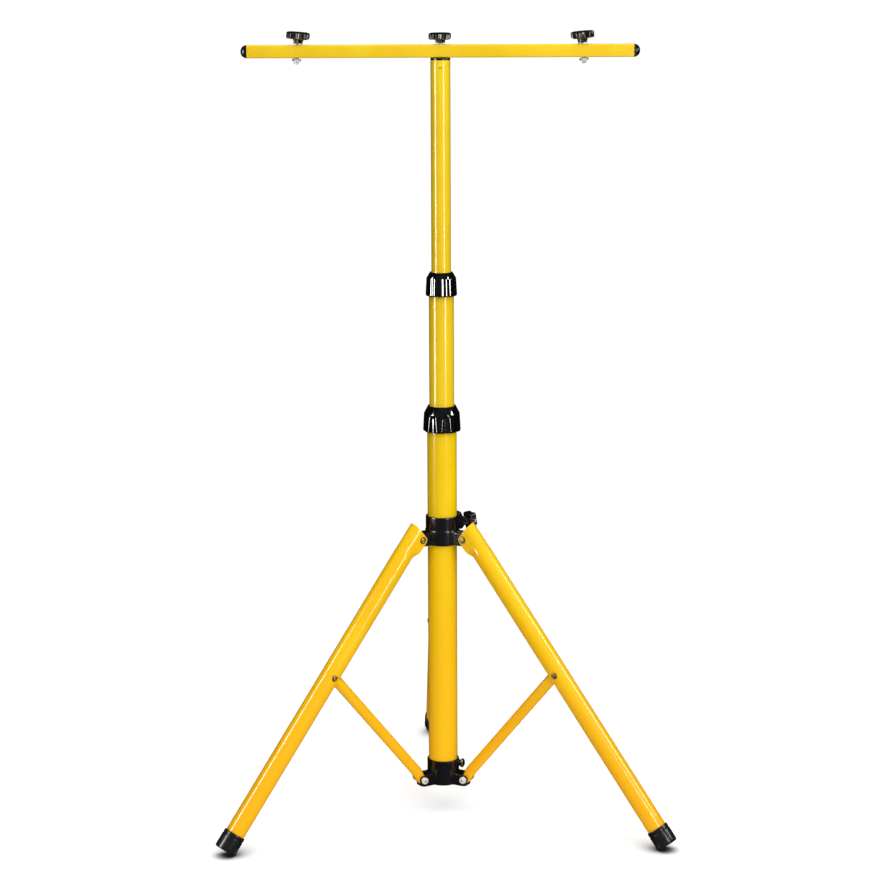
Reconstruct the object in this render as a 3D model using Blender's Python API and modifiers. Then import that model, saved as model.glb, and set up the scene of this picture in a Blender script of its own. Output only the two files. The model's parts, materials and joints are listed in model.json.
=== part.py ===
"""Floodlight tripod: a telescopic mast on three folding legs, with a crossbar and its star knobs.

Every separate piece is its own object, in metres, +Z up, standing on z = 0 with its legs spread.
The mast's own axis is the parent of everything; the object's origin is under the middle of its box.
"""
import math

import bmesh
import bpy
from mathutils import Matrix, Vector

# Driving dimensions, in metres
GAP = 0.0003
SIDES = 32
# Keeps two faces that are cut or joined from lying in one plane
OFFSET = 0.0001

# Mast: three steel tubes, each sliding in the one below
LOWER_TUBE_R = 0.0190
MIDDLE_TUBE_R = 0.0160
UPPER_TUBE_R = 0.0125
TUBE_WALL = 0.0013
LOWER_TUBE_BOTTOM = 0.0412
LOWER_TUBE_TOP = 0.5270
MIDDLE_TUBE_BOTTOM = 0.1900
MIDDLE_TUBE_TOP = 0.7000
UPPER_TUBE_BOTTOM = 0.4600
UPPER_TUBE_TOP = 0.9820

# Twist-lock collars over the tube ends
LOWER_LOCK_BOTTOM = 0.5120
LOWER_LOCK_TOP = 0.5450
LOWER_LOCK_R = 0.02425
LOWER_LOCK_SHOULDER_R = 0.0230
LOWER_LOCK_SHOULDER_DROP = 0.0097
ARCHES = 8
ARCH_R = 0.0134
ARCH_DEPTH = 0.0022
ARCH_CROWN_R = 0.0118
ARCH_RISE = 0.0042
ARCH_PHASE = 0.31
UPPER_LOCK_BOTTOM = 0.6870
UPPER_LOCK_TOP = 0.7170
UPPER_LOCK_R = 0.0201
UPPER_LOCK_SHOULDER_R = 0.0189
UPPER_LOCK_SHOULDER_DROP = 0.0074
FLUTES = 16
FLUTE_R = 0.0022
FLUTE_DEPTH = 0.0011
FLUTE_TOP_DROP = 0.0060
FLUTE_PHASE = 0.40

# Crossbar: a square steel tube with a domed cap in each end
BAR_SIZE = 0.0160
BAR_WALL = 0.0015
BAR_CORNER_R = 0.0016
BAR_HALF_LENGTH = 0.2408
BAR_CENTRE_Z = 0.9933
BAR_CAP_LENGTH = 0.0080
KNOB_SPACING = 0.1780
KNOB_LEAN = math.radians(5)
LEAN_HOLE_R = 0.0046

# Star knobs on M6 studs
STUD_R = 0.0030
STUD_HOLE_R = 0.0034
CENTRE_KNOB_R = 0.0147
CENTRE_HEAD_BOTTOM = 0.0139
CENTRE_HEAD_TOP = 0.0228
SIDE_KNOB_R = 0.0152
SIDE_HEAD_BOTTOM = 0.0149
SIDE_HEAD_TOP = 0.0243
KNOB_LOBES = 7
KNOB_LOBE_DEPTH = 0.20
KNOB_NECK_BOTTOM = 0.0102
WASHER_R = 0.0060
WASHER_BOTTOM = 0.0089
WASHER_TOP = 0.0099
BAR_NUT_FLATS = 0.0100
BAR_NUT_TOP = -0.0089
BAR_NUT_BOTTOM = -0.0124
SIDE_STUD_BOTTOM = -0.0159
CENTRE_STUD_BOTTOM = -0.0315

# Legs and braces: equal links from the rivet, so the collar slides straight as they fold
FRONT_LEG_TURN = math.radians(1.35)
REAR_LEG_TURN = math.radians(2.25)
LEG_ANGLE = math.radians(37.1)
LINK_LENGTH = 0.2100
PIVOT_RADIUS = 0.0357
LEG_OFFSET = 0.0080
LEG_LENGTH = 0.4650
LEG_R = 0.0125
LEG_WALL = 0.0014
LEG_TOP = 0.0120
LEG_TOP_INNER = 0.0010
CHEEK_REACH = 0.0065
CHEEK_HALF = 0.0110
CHEEK_INSIDE = 0.0096
CHEEK_BOTTOM = -0.0310
CHEEK_MOUTH = -0.0145
BRACE_R = 0.0070
BRACE_WALL = 0.0012
BRACE_OFFSET = 0.0023
BRACE_EYE_R = 0.0060
BRACE_EYE_HALF = 0.0068
BRACE_SLOT_HALF = 0.0076
BRACE_SLOT_ABOVE = 0.0105
BRACE_SLOT_BELOW = 0.0700
PIN_HOLE_R = 0.0031
RIVET_HOLE_R = 0.0029

# Rubber feet
FOOT_R = 0.0144
FOOT_EDGE_R = 0.0136
FOOT_LENGTH = 0.0246
FOOT_BASE = 0.0033
FOOT_FLAT = 0.0012

# Sliding collar that carries the legs
COLLAR_BOTTOM = 0.3633
COLLAR_TOP = 0.4008
COLLAR_SHOULDER = 0.3827
COLLAR_R = 0.0215
COLLAR_SKIRT_R = 0.0222
COLLAR_BORE_R = 0.0194
COLLAR_LUG_HALF = 0.0092
COLLAR_EYE_R = 0.0067
COLLAR_KNOB_TURN = math.radians(31.4)
COLLAR_KNOB_Z = 0.3885
COLLAR_KNOB_R = 0.0124
COLLAR_KNOB_LOBES = 5
COLLAR_NECK_BOTTOM = 0.0296
COLLAR_HEAD_BOTTOM = 0.0370
COLLAR_HEAD_TOP = 0.0478
BOSS_OUTLINE = [(0.0150, 0.3800), (0.0262, 0.3800), (0.0290, 0.3830), (0.0290, 0.3940), (0.0262, 0.3985),
                (0.0240, 0.4030), (0.0222, 0.4030), (0.0205, 0.4000), (0.0150, 0.4000)]
BOSS_WIDTH = 0.0150

# Hub at the mast's foot
HUB_BOTTOM = 0.0378
HUB_TOP = 0.0710
HUB_R = 0.0210
HUB_FORK_HALF = 0.0098
HUB_FORK_TOP = 0.0540
HUB_EYE_R = 0.0054
HUB_SLOT_HALF = 0.0073
HUB_SLOT_START = 0.0256
HUB_WEB_BOTTOM = 0.0385
HUB_WEB_TOP = 0.0412
HUB_WEB_END = 0.0380
HUB_WEB_CORNER_R = 0.0060
HUB_SCREW_TURN = math.radians(-20)
HUB_SCREW_Z = 0.0660
HUB_SCREW_HEAD_R = 0.0063
HUB_SCREW_SEAT = 0.0262
HUB_BOSS_R = 0.0044
HUB_LEDGE_R = 0.0160
BOLT_R = 0.0025
BOLT_HOLE_R = 0.0028
BOLT_FLATS = 0.0080
BOLT_HEAD = 0.0035
BOLT_NUT = 0.0040
BOLT_END = 0.0055

# Lengths that follow from the ones above
LEG_TILT = math.asin(LEG_OFFSET / LINK_LENGTH)
BRACE_ANGLE = LEG_ANGLE + LEG_TILT
RIVET_DEPTH = math.sqrt(LINK_LENGTH**2 - LEG_OFFSET**2)
UPPER_PIVOT_Z = (LEG_LENGTH * math.cos(LEG_ANGLE) + (FOOT_EDGE_R - LEG_OFFSET) * math.sin(LEG_ANGLE)
                 - FOOT_FLAT)
LOWER_PIVOT_Z = UPPER_PIVOT_Z - 2 * LINK_LENGTH * math.cos(BRACE_ANGLE)
FOOT_RADIUS = (PIVOT_RADIUS + LEG_OFFSET * math.cos(LEG_ANGLE) + LEG_LENGTH * math.sin(LEG_ANGLE))
LEG_TURNS = [math.radians(90) + REAR_LEG_TURN, math.radians(210) + FRONT_LEG_TURN,
             math.radians(330) + FRONT_LEG_TURN]

# Turns an outline drawn in X and Y upright, into X and Z, with its thickness along Y
UPRIGHT = Matrix.Rotation(math.pi / 2, 4, "X")
# Lays a shape made along Z down along Y or X
ALONG_Y = Matrix.Rotation(-math.pi / 2, 4, "X")
ALONG_X = Matrix.Rotation(math.pi / 2, 4, "Y")


def clear_scene():
    for obj in list(bpy.data.objects):
        bpy.data.objects.remove(obj, do_unlink=True)


def add_collection(name):
    collection = bpy.data.collections.new(name)
    bpy.context.scene.collection.children.link(collection)
    return collection


clear_scene()
TRIPOD = add_collection("floodlight_tripod")
TOOLS = add_collection("cutters_and_guides")


def make_material(name, colour, roughness, metallic):
    material = bpy.data.materials.new(name)
    material.use_nodes = True
    shader = material.node_tree.nodes["Principled BSDF"]
    shader.inputs["Base Color"].default_value = (*colour, 1)
    shader.inputs["Roughness"].default_value = roughness
    shader.inputs["Metallic"].default_value = metallic
    material.diffuse_color = (*colour, 1)
    return material


YELLOW = make_material("yellow_paint", (0.93, 0.52, 0.012), 0.28, 0.0)
BLACK = make_material("black_plastic", (0.018, 0.018, 0.019), 0.42, 0.0)
GLOSSY = make_material("glossy_black_plastic", (0.012, 0.012, 0.013), 0.2, 0.0)
RUBBER = make_material("black_rubber", (0.014, 0.014, 0.014), 0.75, 0.0)
ZINC = make_material("zinc_plated_steel", (0.62, 0.62, 0.60), 0.3, 1.0)
DARK = make_material("dark_rivet_steel", (0.16, 0.14, 0.12), 0.4, 1.0)
NYLON = make_material("pale_nylon", (0.62, 0.61, 0.56), 0.5, 0.0)


# Objects, guides and cutters

def add_guide(name, parent=None, location=(0, 0, 0), rotation=(0, 0, 0)):
    """An empty on a joint's axis, which carries the pieces that move on it."""
    guide = bpy.data.objects.new(name, None)
    guide.empty_display_size = 0.02
    guide.parent = parent
    guide.location = location
    guide.rotation_euler = rotation
    TOOLS.objects.link(guide)
    return guide


def add_piece(name, mesh, parent, material):
    piece = bpy.data.objects.new(name, mesh)
    piece.parent = parent
    mesh.materials.append(material)
    TRIPOD.objects.link(piece)
    return piece


def add_tool(name, mesh, parent):
    """A shape that cuts a piece, or is joined to one."""
    tool = bpy.data.objects.new(name, mesh)
    tool.parent = parent
    tool.hide_render = True
    tool.display_type = "WIRE"
    TOOLS.objects.link(tool)
    return tool


def combine(piece, tool, operation):
    modifier = piece.modifiers.new(operation.lower(), "BOOLEAN")
    modifier.operation = operation
    modifier.object = tool


def cut(piece, tool):
    combine(piece, tool, "DIFFERENCE")


def join(piece, tool):
    combine(piece, tool, "UNION")


def round_edges(piece, width, segments=1):
    bevel = piece.modifiers.new("rounded_edges", "BEVEL")
    bevel.width = width
    bevel.segments = segments
    bevel.limit_method = "ANGLE"
    bevel.angle_limit = math.radians(50)


def shade(mesh):
    mesh.shade_smooth()
    mesh.set_sharp_from_angle(angle=math.radians(35))


def turn_profile(obj, steps=SIDES):
    """Turns the object's profile round its own Z axis."""
    screw = obj.modifiers.new("turned", "SCREW")
    screw.axis = "Z"
    screw.steps = steps
    screw.render_steps = steps
    screw.use_merge_vertices = True
    screw.merge_threshold = 0.00001
    return obj


# Meshes

def profile_mesh(name, points, closed):
    """The half section of a turned shape, running down its outer side."""
    mesh = bpy.data.meshes.new(name)
    count = len(points)
    edges = [(index, index + 1) for index in range(count - 1)]
    if closed:
        edges.append((count - 1, 0))
    mesh.from_pydata([(radius, 0, height) for radius, height in points], edges, [])
    return mesh


def rod_mesh(name, radius, start, end, matrix=None, sides=SIDES):
    """A round or many-sided bar along Z between two heights, then moved by the matrix."""
    shape = bmesh.new()
    middle = Matrix.Translation((0, 0, (start + end) / 2))
    bmesh.ops.create_cone(shape, cap_ends=True, segments=sides, radius1=radius, radius2=radius,
                          depth=end - start, matrix=middle)
    mesh = bpy.data.meshes.new(name)
    shape.to_mesh(mesh)
    shape.free()
    if matrix:
        mesh.transform(matrix)
    shade(mesh)
    return mesh


def box_mesh(name, low, high):
    size = Vector(high) - Vector(low)
    shape = bmesh.new()
    place = Matrix.Translation((Vector(high) + Vector(low)) / 2) @ Matrix.Diagonal((*size, 1))
    bmesh.ops.create_cube(shape, size=1, matrix=place)
    mesh = bpy.data.meshes.new(name)
    shape.to_mesh(mesh)
    shape.free()
    return mesh


def outline_mesh(name, outlines, thickness, matrix=None):
    """A flat shape of this thickness, centred on z = 0: the first outline, less the ones after it."""
    curve = bpy.data.curves.new(name, "CURVE")
    curve.dimensions = "2D"
    curve.fill_mode = "BOTH"
    curve.extrude = thickness / 2
    for points in outlines:
        spline = curve.splines.new("POLY")
        spline.points.add(len(points) - 1)
        for corner, (x, y) in zip(spline.points, points):
            corner.co = (x, y, 0, 1)
        spline.use_cyclic_u = True
    holder = bpy.data.objects.new(name, curve)
    TOOLS.objects.link(holder)
    bpy.context.view_layer.update()
    evaluated = holder.evaluated_get(bpy.context.evaluated_depsgraph_get())
    mesh = bpy.data.meshes.new_from_object(evaluated)
    bpy.data.objects.remove(holder)
    bpy.data.curves.remove(curve)
    weld = bmesh.new()
    weld.from_mesh(mesh)
    bmesh.ops.remove_doubles(weld, verts=weld.verts, dist=0.00001)
    weld.to_mesh(mesh)
    weld.free()
    if matrix:
        mesh.transform(matrix)
    shade(mesh)
    return mesh


# Outlines

def arc(centre, radius, start, end, count):
    """Points along an arc, with its angles in degrees."""
    points = []
    for index in range(count + 1):
        angle = math.radians(start + (end - start) * index / count)
        points.append((centre[0] + radius * math.cos(angle), centre[1] + radius * math.sin(angle)))
    return points


def circle(radius, count):
    return arc((0, 0), radius, 0, 360 * (count - 1) / count, count - 1)


def rounded_square(size, radius):
    corner = size / 2 - radius
    points = []
    for index, (x, y) in enumerate(((1, 1), (-1, 1), (-1, -1), (1, -1))):
        points += arc((x * corner, y * corner), radius, 90 * index, 90 * index + 90, 3)
    return points


def lobed(radius, depth, lobes, count):
    """A wavy circle: the lobes reach the radius, and the hollows are this deep."""
    points = []
    for index in range(count):
        angle = 2 * math.pi * index / count
        reach = radius - depth / 2 * (1 - math.cos(lobes * angle))
        points.append((reach * math.cos(angle), reach * math.sin(angle)))
    return points


# Shapes used more than once

def add_turned(name, points, parent, material, closed=True, steps=SIDES):
    return turn_profile(add_piece(name, profile_mesh(name, points, closed), parent, material), steps)


def add_turned_tool(name, points, parent, steps=SIDES):
    return turn_profile(add_tool(name, profile_mesh(name, points, False), parent), steps)


def add_tube(name, radius, bottom, top, parent):
    bore = radius - TUBE_WALL
    ring = [(radius, top), (radius, bottom), (bore, bottom), (bore, top)]
    return add_turned(name, ring, parent, YELLOW)


def add_rivet(name, parent, location, half_width, shank_r, head_r):
    """A hollow-ended rivet across a leg, with its heads just outside the tube."""
    head = 0.0016
    hollow_r = 0.0015
    chamfer = 0.0007
    end = half_width + head
    points = [(0, end - head), (hollow_r, end - head), (hollow_r + 0.0002, end), (head_r - chamfer, end),
              (head_r, end - chamfer), (head_r, half_width), (shank_r, half_width),
              (shank_r, -half_width), (head_r, -half_width), (head_r, -end + chamfer),
              (head_r - chamfer, -end), (0, -end)]
    rivet = add_turned(name, points, parent, DARK, closed=False, steps=12)
    rivet.location = location
    rivet.rotation_euler = (math.pi / 2, 0, 0)
    return rivet


def add_hex_nut(name, parent, across_flats, bore_r, start, end, matrix=None):
    """A hexagon nut along Z between two heights."""
    hexagon = circle(across_flats / math.sqrt(3), 6)
    place = Matrix.Translation((0, 0, (start + end) / 2))
    mesh = outline_mesh(name, [hexagon, circle(bore_r, 16)], end - start, place)
    if matrix:
        mesh.transform(matrix)
    return add_piece(name, mesh, parent, ZINC)


def add_stud(name, parent, bottom, top):
    chamfer = 0.0006
    points = [(0, top), (STUD_R - chamfer, top), (STUD_R, top - chamfer), (STUD_R, bottom + chamfer),
              (STUD_R - chamfer, bottom), (0, bottom)]
    return add_turned(name, points, parent, ZINC, closed=False, steps=16)


def add_knob(name, parent, radius, lobes, neck_bottom, head_bottom, head_top):
    """A star knob along Z: a lobed head on a ribbed neck, with a blind hole for its stud."""
    thickness = head_top - head_bottom
    head = outline_mesh(name, [lobed(radius, radius * KNOB_LOBE_DEPTH, lobes, lobes * 8)], thickness,
                        Matrix.Translation((0, 0, (head_bottom + head_top) / 2)))
    knob = add_piece(name, head, parent, BLACK)
    round_edges(knob, 0.0012)
    overlap = 0.0010
    neck_top = head_bottom + overlap
    neck = outline_mesh(name + "_neck", [lobed(0.0061, 0.0010, 6, 24)], neck_top - neck_bottom,
                        Matrix.Translation((0, 0, (neck_bottom + neck_top) / 2)))
    join(knob, add_tool(name + "_neck", neck, parent))
    hole_top = head_top - 0.0030
    hole = rod_mesh(name + "_hole", STUD_R + GAP, neck_bottom - 0.001, hole_top, sides=16)
    cut(knob, add_tool(name + "_hole", hole, parent))
    return knob


def ring_of_cutters(name, cutter, count, ring_radius, phase):
    """Copies of an upright cutter, standing in a circle as one mesh."""
    shape = bmesh.new()
    for index in range(count):
        turn = Matrix.Rotation(2 * math.pi * (index + phase) / count, 4, "Z")
        copy = cutter.copy()
        copy.transform(turn @ Matrix.Translation((ring_radius, 0, 0)))
        shape.from_mesh(copy)
        bpy.data.meshes.remove(copy)
    mesh = bpy.data.meshes.new(name)
    shape.to_mesh(mesh)
    shape.free()
    return mesh


# Mast

def build_mast(mast):
    add_tube("mast_lower_tube", LOWER_TUBE_R, LOWER_TUBE_BOTTOM, LOWER_TUBE_TOP, mast)
    add_tube("mast_middle_tube", MIDDLE_TUBE_R, MIDDLE_TUBE_BOTTOM, MIDDLE_TUBE_TOP, mast)
    upper = add_tube("mast_upper_tube", UPPER_TUBE_R, UPPER_TUBE_BOTTOM, UPPER_TUBE_TOP, mast)
    build_bush("middle_tube_bush", MIDDLE_TUBE_R, LOWER_TUBE_R, MIDDLE_TUBE_BOTTOM, mast)
    build_bush("upper_tube_bush", UPPER_TUBE_R, MIDDLE_TUBE_R, UPPER_TUBE_BOTTOM, mast)
    build_collet("lower_collet", MIDDLE_TUBE_R, LOWER_TUBE_R, LOWER_TUBE_TOP, mast)
    build_collet("upper_collet", UPPER_TUBE_R, MIDDLE_TUBE_R, MIDDLE_TUBE_TOP, mast)
    build_lower_lock(mast)
    build_upper_lock(mast)
    build_top_plug(mast, upper)


def build_bush(name, inner_tube_r, outer_tube_r, bottom, mast):
    """A sleeve on a sliding tube's lower end, which guides it in the tube outside."""
    length = 0.016
    lip = 0.0040
    step = 0.0002
    sleeve_r = outer_tube_r - TUBE_WALL - GAP
    seat_r = inner_tube_r + GAP
    lip_r = inner_tube_r - TUBE_WALL - step
    points = [(sleeve_r, bottom + length), (sleeve_r, bottom - lip), (lip_r, bottom - lip),
              (lip_r, bottom - GAP), (seat_r, bottom - GAP), (seat_r, bottom + length)]
    return add_turned(name, points, mast, NYLON, steps=24)


def build_collet(name, inner_tube_r, outer_tube_r, seat, mast):
    """The slit ring that a twist lock squeezes onto the sliding tube."""
    slit = 0.0020
    top, bottom = seat + 0.0125, seat - 0.0120
    rim = 2 * GAP
    skirt_r = outer_tube_r - TUBE_WALL - GAP
    bore_r = inner_tube_r + GAP
    points = [(skirt_r - GAP, top), (outer_tube_r, seat + rim), (outer_tube_r, seat + GAP),
              (skirt_r, seat + GAP), (skirt_r, bottom), (bore_r, bottom), (bore_r, top)]
    collet = add_turned(name, points, mast, NYLON, steps=24)
    gap = box_mesh(name + "_slit", (0, -slit / 2, bottom - 0.008), (0.03, slit / 2, top + 0.0075))
    cut(collet, add_tool(name + "_slit", gap, mast))


def build_lock(name, bottom, top, skirt_r, shoulder_r, shoulder_drop, outer_tube_r, inner_tube_r, seat, mast):
    """A twist lock: a skirt over the outer tube's end, narrowing to a neck round the inner tube."""
    rim = 0.0006
    clearance = 0.0004
    neck_wall = 0.0015
    flare = 0.0015
    sleeve_r = outer_tube_r + clearance
    neck_r = inner_tube_r + clearance
    lip_r = neck_r + neck_wall
    cone_bottom = seat + 0.0010
    cone_top = seat + 0.0132
    points = [(lip_r - rim, top), (lip_r, top - rim), (shoulder_r, top - shoulder_drop),
              (skirt_r, bottom + flare), (skirt_r - rim, bottom), (sleeve_r, bottom), (sleeve_r, cone_bottom),
              (lip_r, cone_top), (neck_r, cone_top + clearance), (neck_r, top)]
    return add_turned(name, points, mast, GLOSSY, steps=48)


def build_lower_lock(mast):
    """The larger twist lock, with arched hollows round its skirt."""
    bottom, top = LOWER_LOCK_BOTTOM, LOWER_LOCK_TOP
    lock = build_lock("lower_lock_collar", bottom, top, LOWER_LOCK_R, LOWER_LOCK_SHOULDER_R,
                      LOWER_LOCK_SHOULDER_DROP, LOWER_TUBE_R, MIDDLE_TUBE_R, LOWER_TUBE_TOP, mast)
    crown = top - LOWER_LOCK_SHOULDER_DROP
    ring_radius = LOWER_LOCK_R - ARCH_DEPTH + ARCH_R
    cutter = arch_mesh(bottom - 0.005, crown - ARCH_RISE)
    arches = ring_of_cutters("lower_lock_arches", cutter, ARCHES, ring_radius, ARCH_PHASE)
    cut(lock, add_tool("lower_lock_arches", arches, mast))


def arch_mesh(bottom, spring):
    """An upright cutter that narrows above its spring, so that it leaves an arch."""
    mesh = rod_mesh("arch", ARCH_R, bottom, spring, sides=48)
    shape = bmesh.new()
    shape.from_mesh(mesh)
    rim = [vertex for vertex in shape.verts if vertex.co.z > (bottom + spring) / 2]
    cap = [face for face in shape.faces if all(vertex in rim for vertex in face.verts)]
    raised = bmesh.ops.extrude_face_region(shape, geom=cap)["geom"]
    raised = [item for item in raised if isinstance(item, bmesh.types.BMVert)]
    bmesh.ops.delete(shape, geom=cap, context="FACES_ONLY")
    shrink = ARCH_CROWN_R / ARCH_R
    bmesh.ops.scale(shape, vec=(shrink, shrink, 1), verts=raised)
    bmesh.ops.translate(shape, vec=(0, 0, ARCH_RISE), verts=raised)
    shape.to_mesh(mesh)
    shape.free()
    return mesh


def build_upper_lock(mast):
    """The smaller twist lock, with narrow flutes round its skirt."""
    bottom, top = UPPER_LOCK_BOTTOM, UPPER_LOCK_TOP
    lock = build_lock("upper_lock_collar", bottom, top, UPPER_LOCK_R, UPPER_LOCK_SHOULDER_R,
                      UPPER_LOCK_SHOULDER_DROP, MIDDLE_TUBE_R, UPPER_TUBE_R, MIDDLE_TUBE_TOP, mast)
    rod = rod_mesh("flute", FLUTE_R, bottom - 0.005, top - FLUTE_TOP_DROP, sides=12)
    ring_radius = UPPER_LOCK_R - FLUTE_DEPTH + FLUTE_R
    flutes = ring_of_cutters("upper_lock_flutes", rod, FLUTES, ring_radius, FLUTE_PHASE)
    cut(lock, add_tool("upper_lock_flutes", flutes, mast))


def build_top_plug(mast, upper_tube):
    """The plug in the mast's top, with its threaded insert and the rivet that holds it."""
    flange_top = BAR_CENTRE_Z - BAR_SIZE / 2 - GAP
    body_r = UPPER_TUBE_R - TUBE_WALL - GAP
    body_bottom = UPPER_TUBE_TOP - 0.0240
    floor = body_bottom + 0.0040
    seat_r = 0.0053
    points = [(UPPER_TUBE_R, flange_top), (UPPER_TUBE_R, UPPER_TUBE_TOP + GAP),
              (body_r, UPPER_TUBE_TOP + GAP), (body_r, body_bottom), (STUD_HOLE_R, body_bottom),
              (STUD_HOLE_R, floor), (seat_r, floor), (seat_r, flange_top)]
    plug = add_turned("mast_top_plug", points, mast, BLACK, steps=24)
    insert_r = seat_r - GAP
    insert_bottom = floor + GAP
    insert_bore = STUD_R + GAP
    ring = [(insert_r, flange_top - GAP), (insert_r, insert_bottom), (insert_bore, insert_bottom),
            (insert_bore, flange_top - GAP)]
    add_turned("plug_insert", ring, mast, ZINC, steps=20)
    rivet_z, shank_r = 0.9750, 0.0013
    across = Matrix.Translation((0, 0, rivet_z)) @ ALONG_Y
    hole = rod_mesh("plug_rivet_hole", shank_r + GAP, -0.014, -0.008, across, 12)
    hole_tool = add_tool("plug_rivet_hole", hole, mast)
    cut(upper_tube, hole_tool)
    cut(plug, hole_tool)
    outside = UPPER_TUBE_R + GAP
    inside = outside - 0.0042
    points = [(0, outside + 0.0009), (0.0014, outside + 0.0007), (0.0023, outside), (shank_r, outside),
              (shank_r, inside), (0, inside)]
    rivet = add_turned("plug_rivet", points, mast, YELLOW, closed=False, steps=12)
    rivet.location = (0, 0, rivet_z)
    rivet.rotation_euler = (math.pi / 2, 0, 0)


# Crossbar and its knobs

def build_crossbar(swivel):
    inner = BAR_SIZE - 2 * BAR_WALL
    section = [rounded_square(BAR_SIZE, BAR_CORNER_R), rounded_square(inner, 0.0006)]
    tube = outline_mesh("crossbar", section, 2 * BAR_HALF_LENGTH, ALONG_X)
    bar = add_piece("crossbar", tube, swivel, YELLOW)
    for name, x, radius in (("left", -KNOB_SPACING, LEAN_HOLE_R), ("centre", 0, STUD_HOLE_R),
                            ("right", KNOB_SPACING, LEAN_HOLE_R)):
        hole = rod_mesh(f"bar_hole_{name}", radius, -0.012, 0.012, Matrix.Translation((x, 0, 0)), 20)
        cut(bar, add_tool(f"bar_hole_{name}", hole, swivel))
    for name, side in (("left", -1), ("right", 1)):
        build_bar_cap(f"crossbar_cap_{name}", side, swivel)
        leaning = add_guide(f"knob_axis_{name}", swivel, (side * KNOB_SPACING, 0, 0),
                            (0, -side * KNOB_LEAN, 0))
        build_bar_knob(name, leaning, SIDE_KNOB_R, SIDE_HEAD_BOTTOM, SIDE_HEAD_TOP, SIDE_STUD_BOTTOM)
        add_hex_nut(f"nut_{name}", leaning, BAR_NUT_FLATS, STUD_R + GAP, BAR_NUT_BOTTOM, BAR_NUT_TOP)
    build_bar_knob("centre", add_guide("knob_axis_centre", swivel), CENTRE_KNOB_R, CENTRE_HEAD_BOTTOM,
                   CENTRE_HEAD_TOP, CENTRE_STUD_BOTTOM)


def build_bar_knob(name, parent, radius, head_bottom, head_top, stud_bottom):
    add_knob(f"knob_{name}", parent, radius, KNOB_LOBES, KNOB_NECK_BOTTOM, head_bottom, head_top)
    add_stud(f"stud_{name}", parent, stud_bottom, head_top - 0.0033)
    bore = STUD_R + GAP
    ring = [(WASHER_R, WASHER_TOP), (WASHER_R, WASHER_BOTTOM), (bore, WASHER_BOTTOM), (bore, WASHER_TOP)]
    add_turned(f"washer_{name}", ring, parent, ZINC, steps=16)


def build_bar_cap(name, side, swivel):
    """A domed cap on a square flange, with a square plug inside the tube."""
    flange = 0.0018
    start = BAR_HALF_LENGTH + GAP
    end = start + flange
    plate = outline_mesh(name, [rounded_square(BAR_SIZE, BAR_CORNER_R)], flange,
                         Matrix.Translation((side * (start + flange / 2), 0, 0)) @ ALONG_X)
    cap = add_piece(name, plate, swivel, GLOSSY)
    dome_r = 0.0077
    overlap = 0.0005
    plug_length = 0.0120
    dome_base = end - overlap
    rise = BAR_HALF_LENGTH + BAR_CAP_LENGTH - dome_base
    points = []
    for index in range(7):
        angle = math.radians(90 - 15 * index)
        points.append((dome_r * math.cos(angle), dome_base + rise * math.sin(angle)))
    points[0] = (0, dome_base + rise)
    points.append((0, dome_base))
    dome = add_turned_tool(name + "_dome", points, swivel, 24)
    dome.rotation_euler = (0, side * math.pi / 2, 0)
    join(cap, dome)
    half = BAR_SIZE / 2 - BAR_WALL - GAP
    x0, x1 = sorted((side * (BAR_HALF_LENGTH - plug_length), side * (start + overlap)))
    plug = box_mesh(name + "_plug", (x0, -half, -half), (x1, half, half))
    join(cap, add_tool(name + "_plug", plug, swivel))


# Collar that slides on the mast

def build_leg_collar(mast):
    top, bottom = COLLAR_TOP, COLLAR_BOTTOM
    rim = 0.0008
    step = COLLAR_SKIRT_R - COLLAR_R
    points = [(0, top), (COLLAR_R - rim, top), (COLLAR_R, top - rim), (COLLAR_R, COLLAR_SHOULDER),
              (COLLAR_SKIRT_R, COLLAR_SHOULDER - step), (COLLAR_SKIRT_R, bottom), (0, bottom)]
    collar = add_turned("leg_collar", points, mast, BLACK, closed=False)
    pivot = (PIVOT_RADIUS, UPPER_PIVOT_Z)
    eye_top = UPPER_PIVOT_Z + COLLAR_EYE_R
    outline = [(0.015, eye_top + 0.0012), (0.026, eye_top + 0.0012), (0.032, eye_top)]
    outline += arc(pivot, COLLAR_EYE_R, 90, -50, 9)
    outline += [(PIVOT_RADIUS + 0.001, bottom + 0.0006), (0.015, bottom + 0.0006)]
    for index, turn in enumerate(LEG_TURNS):
        lug = outline_mesh(f"collar_lug_{index + 1}", [outline], 2 * COLLAR_LUG_HALF, UPRIGHT)
        lug.transform(Matrix.Rotation(turn, 4, "Z"))
        join(collar, add_tool(f"collar_lug_{index + 1}", lug, mast))
    boss = outline_mesh("collar_boss", [BOSS_OUTLINE], BOSS_WIDTH, UPRIGHT)
    boss.transform(Matrix.Rotation(COLLAR_KNOB_TURN, 4, "Z"))
    join(collar, add_tool("collar_boss", boss, mast))
    bore = rod_mesh("collar_bore", COLLAR_BORE_R, bottom - 0.01, top + 0.01)
    cut(collar, add_tool("collar_bore", bore, mast))
    for index, turn in enumerate(LEG_TURNS):
        place = Matrix.Rotation(turn, 4, "Z") @ Matrix.Translation((PIVOT_RADIUS, 0, UPPER_PIVOT_Z))
        hole = rod_mesh(f"collar_pin_hole_{index + 1}", PIN_HOLE_R, -0.02, 0.02, place @ ALONG_Y, 16)
        cut(collar, add_tool(f"collar_pin_hole_{index + 1}", hole, mast))
    build_collar_knob(mast, collar)


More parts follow.
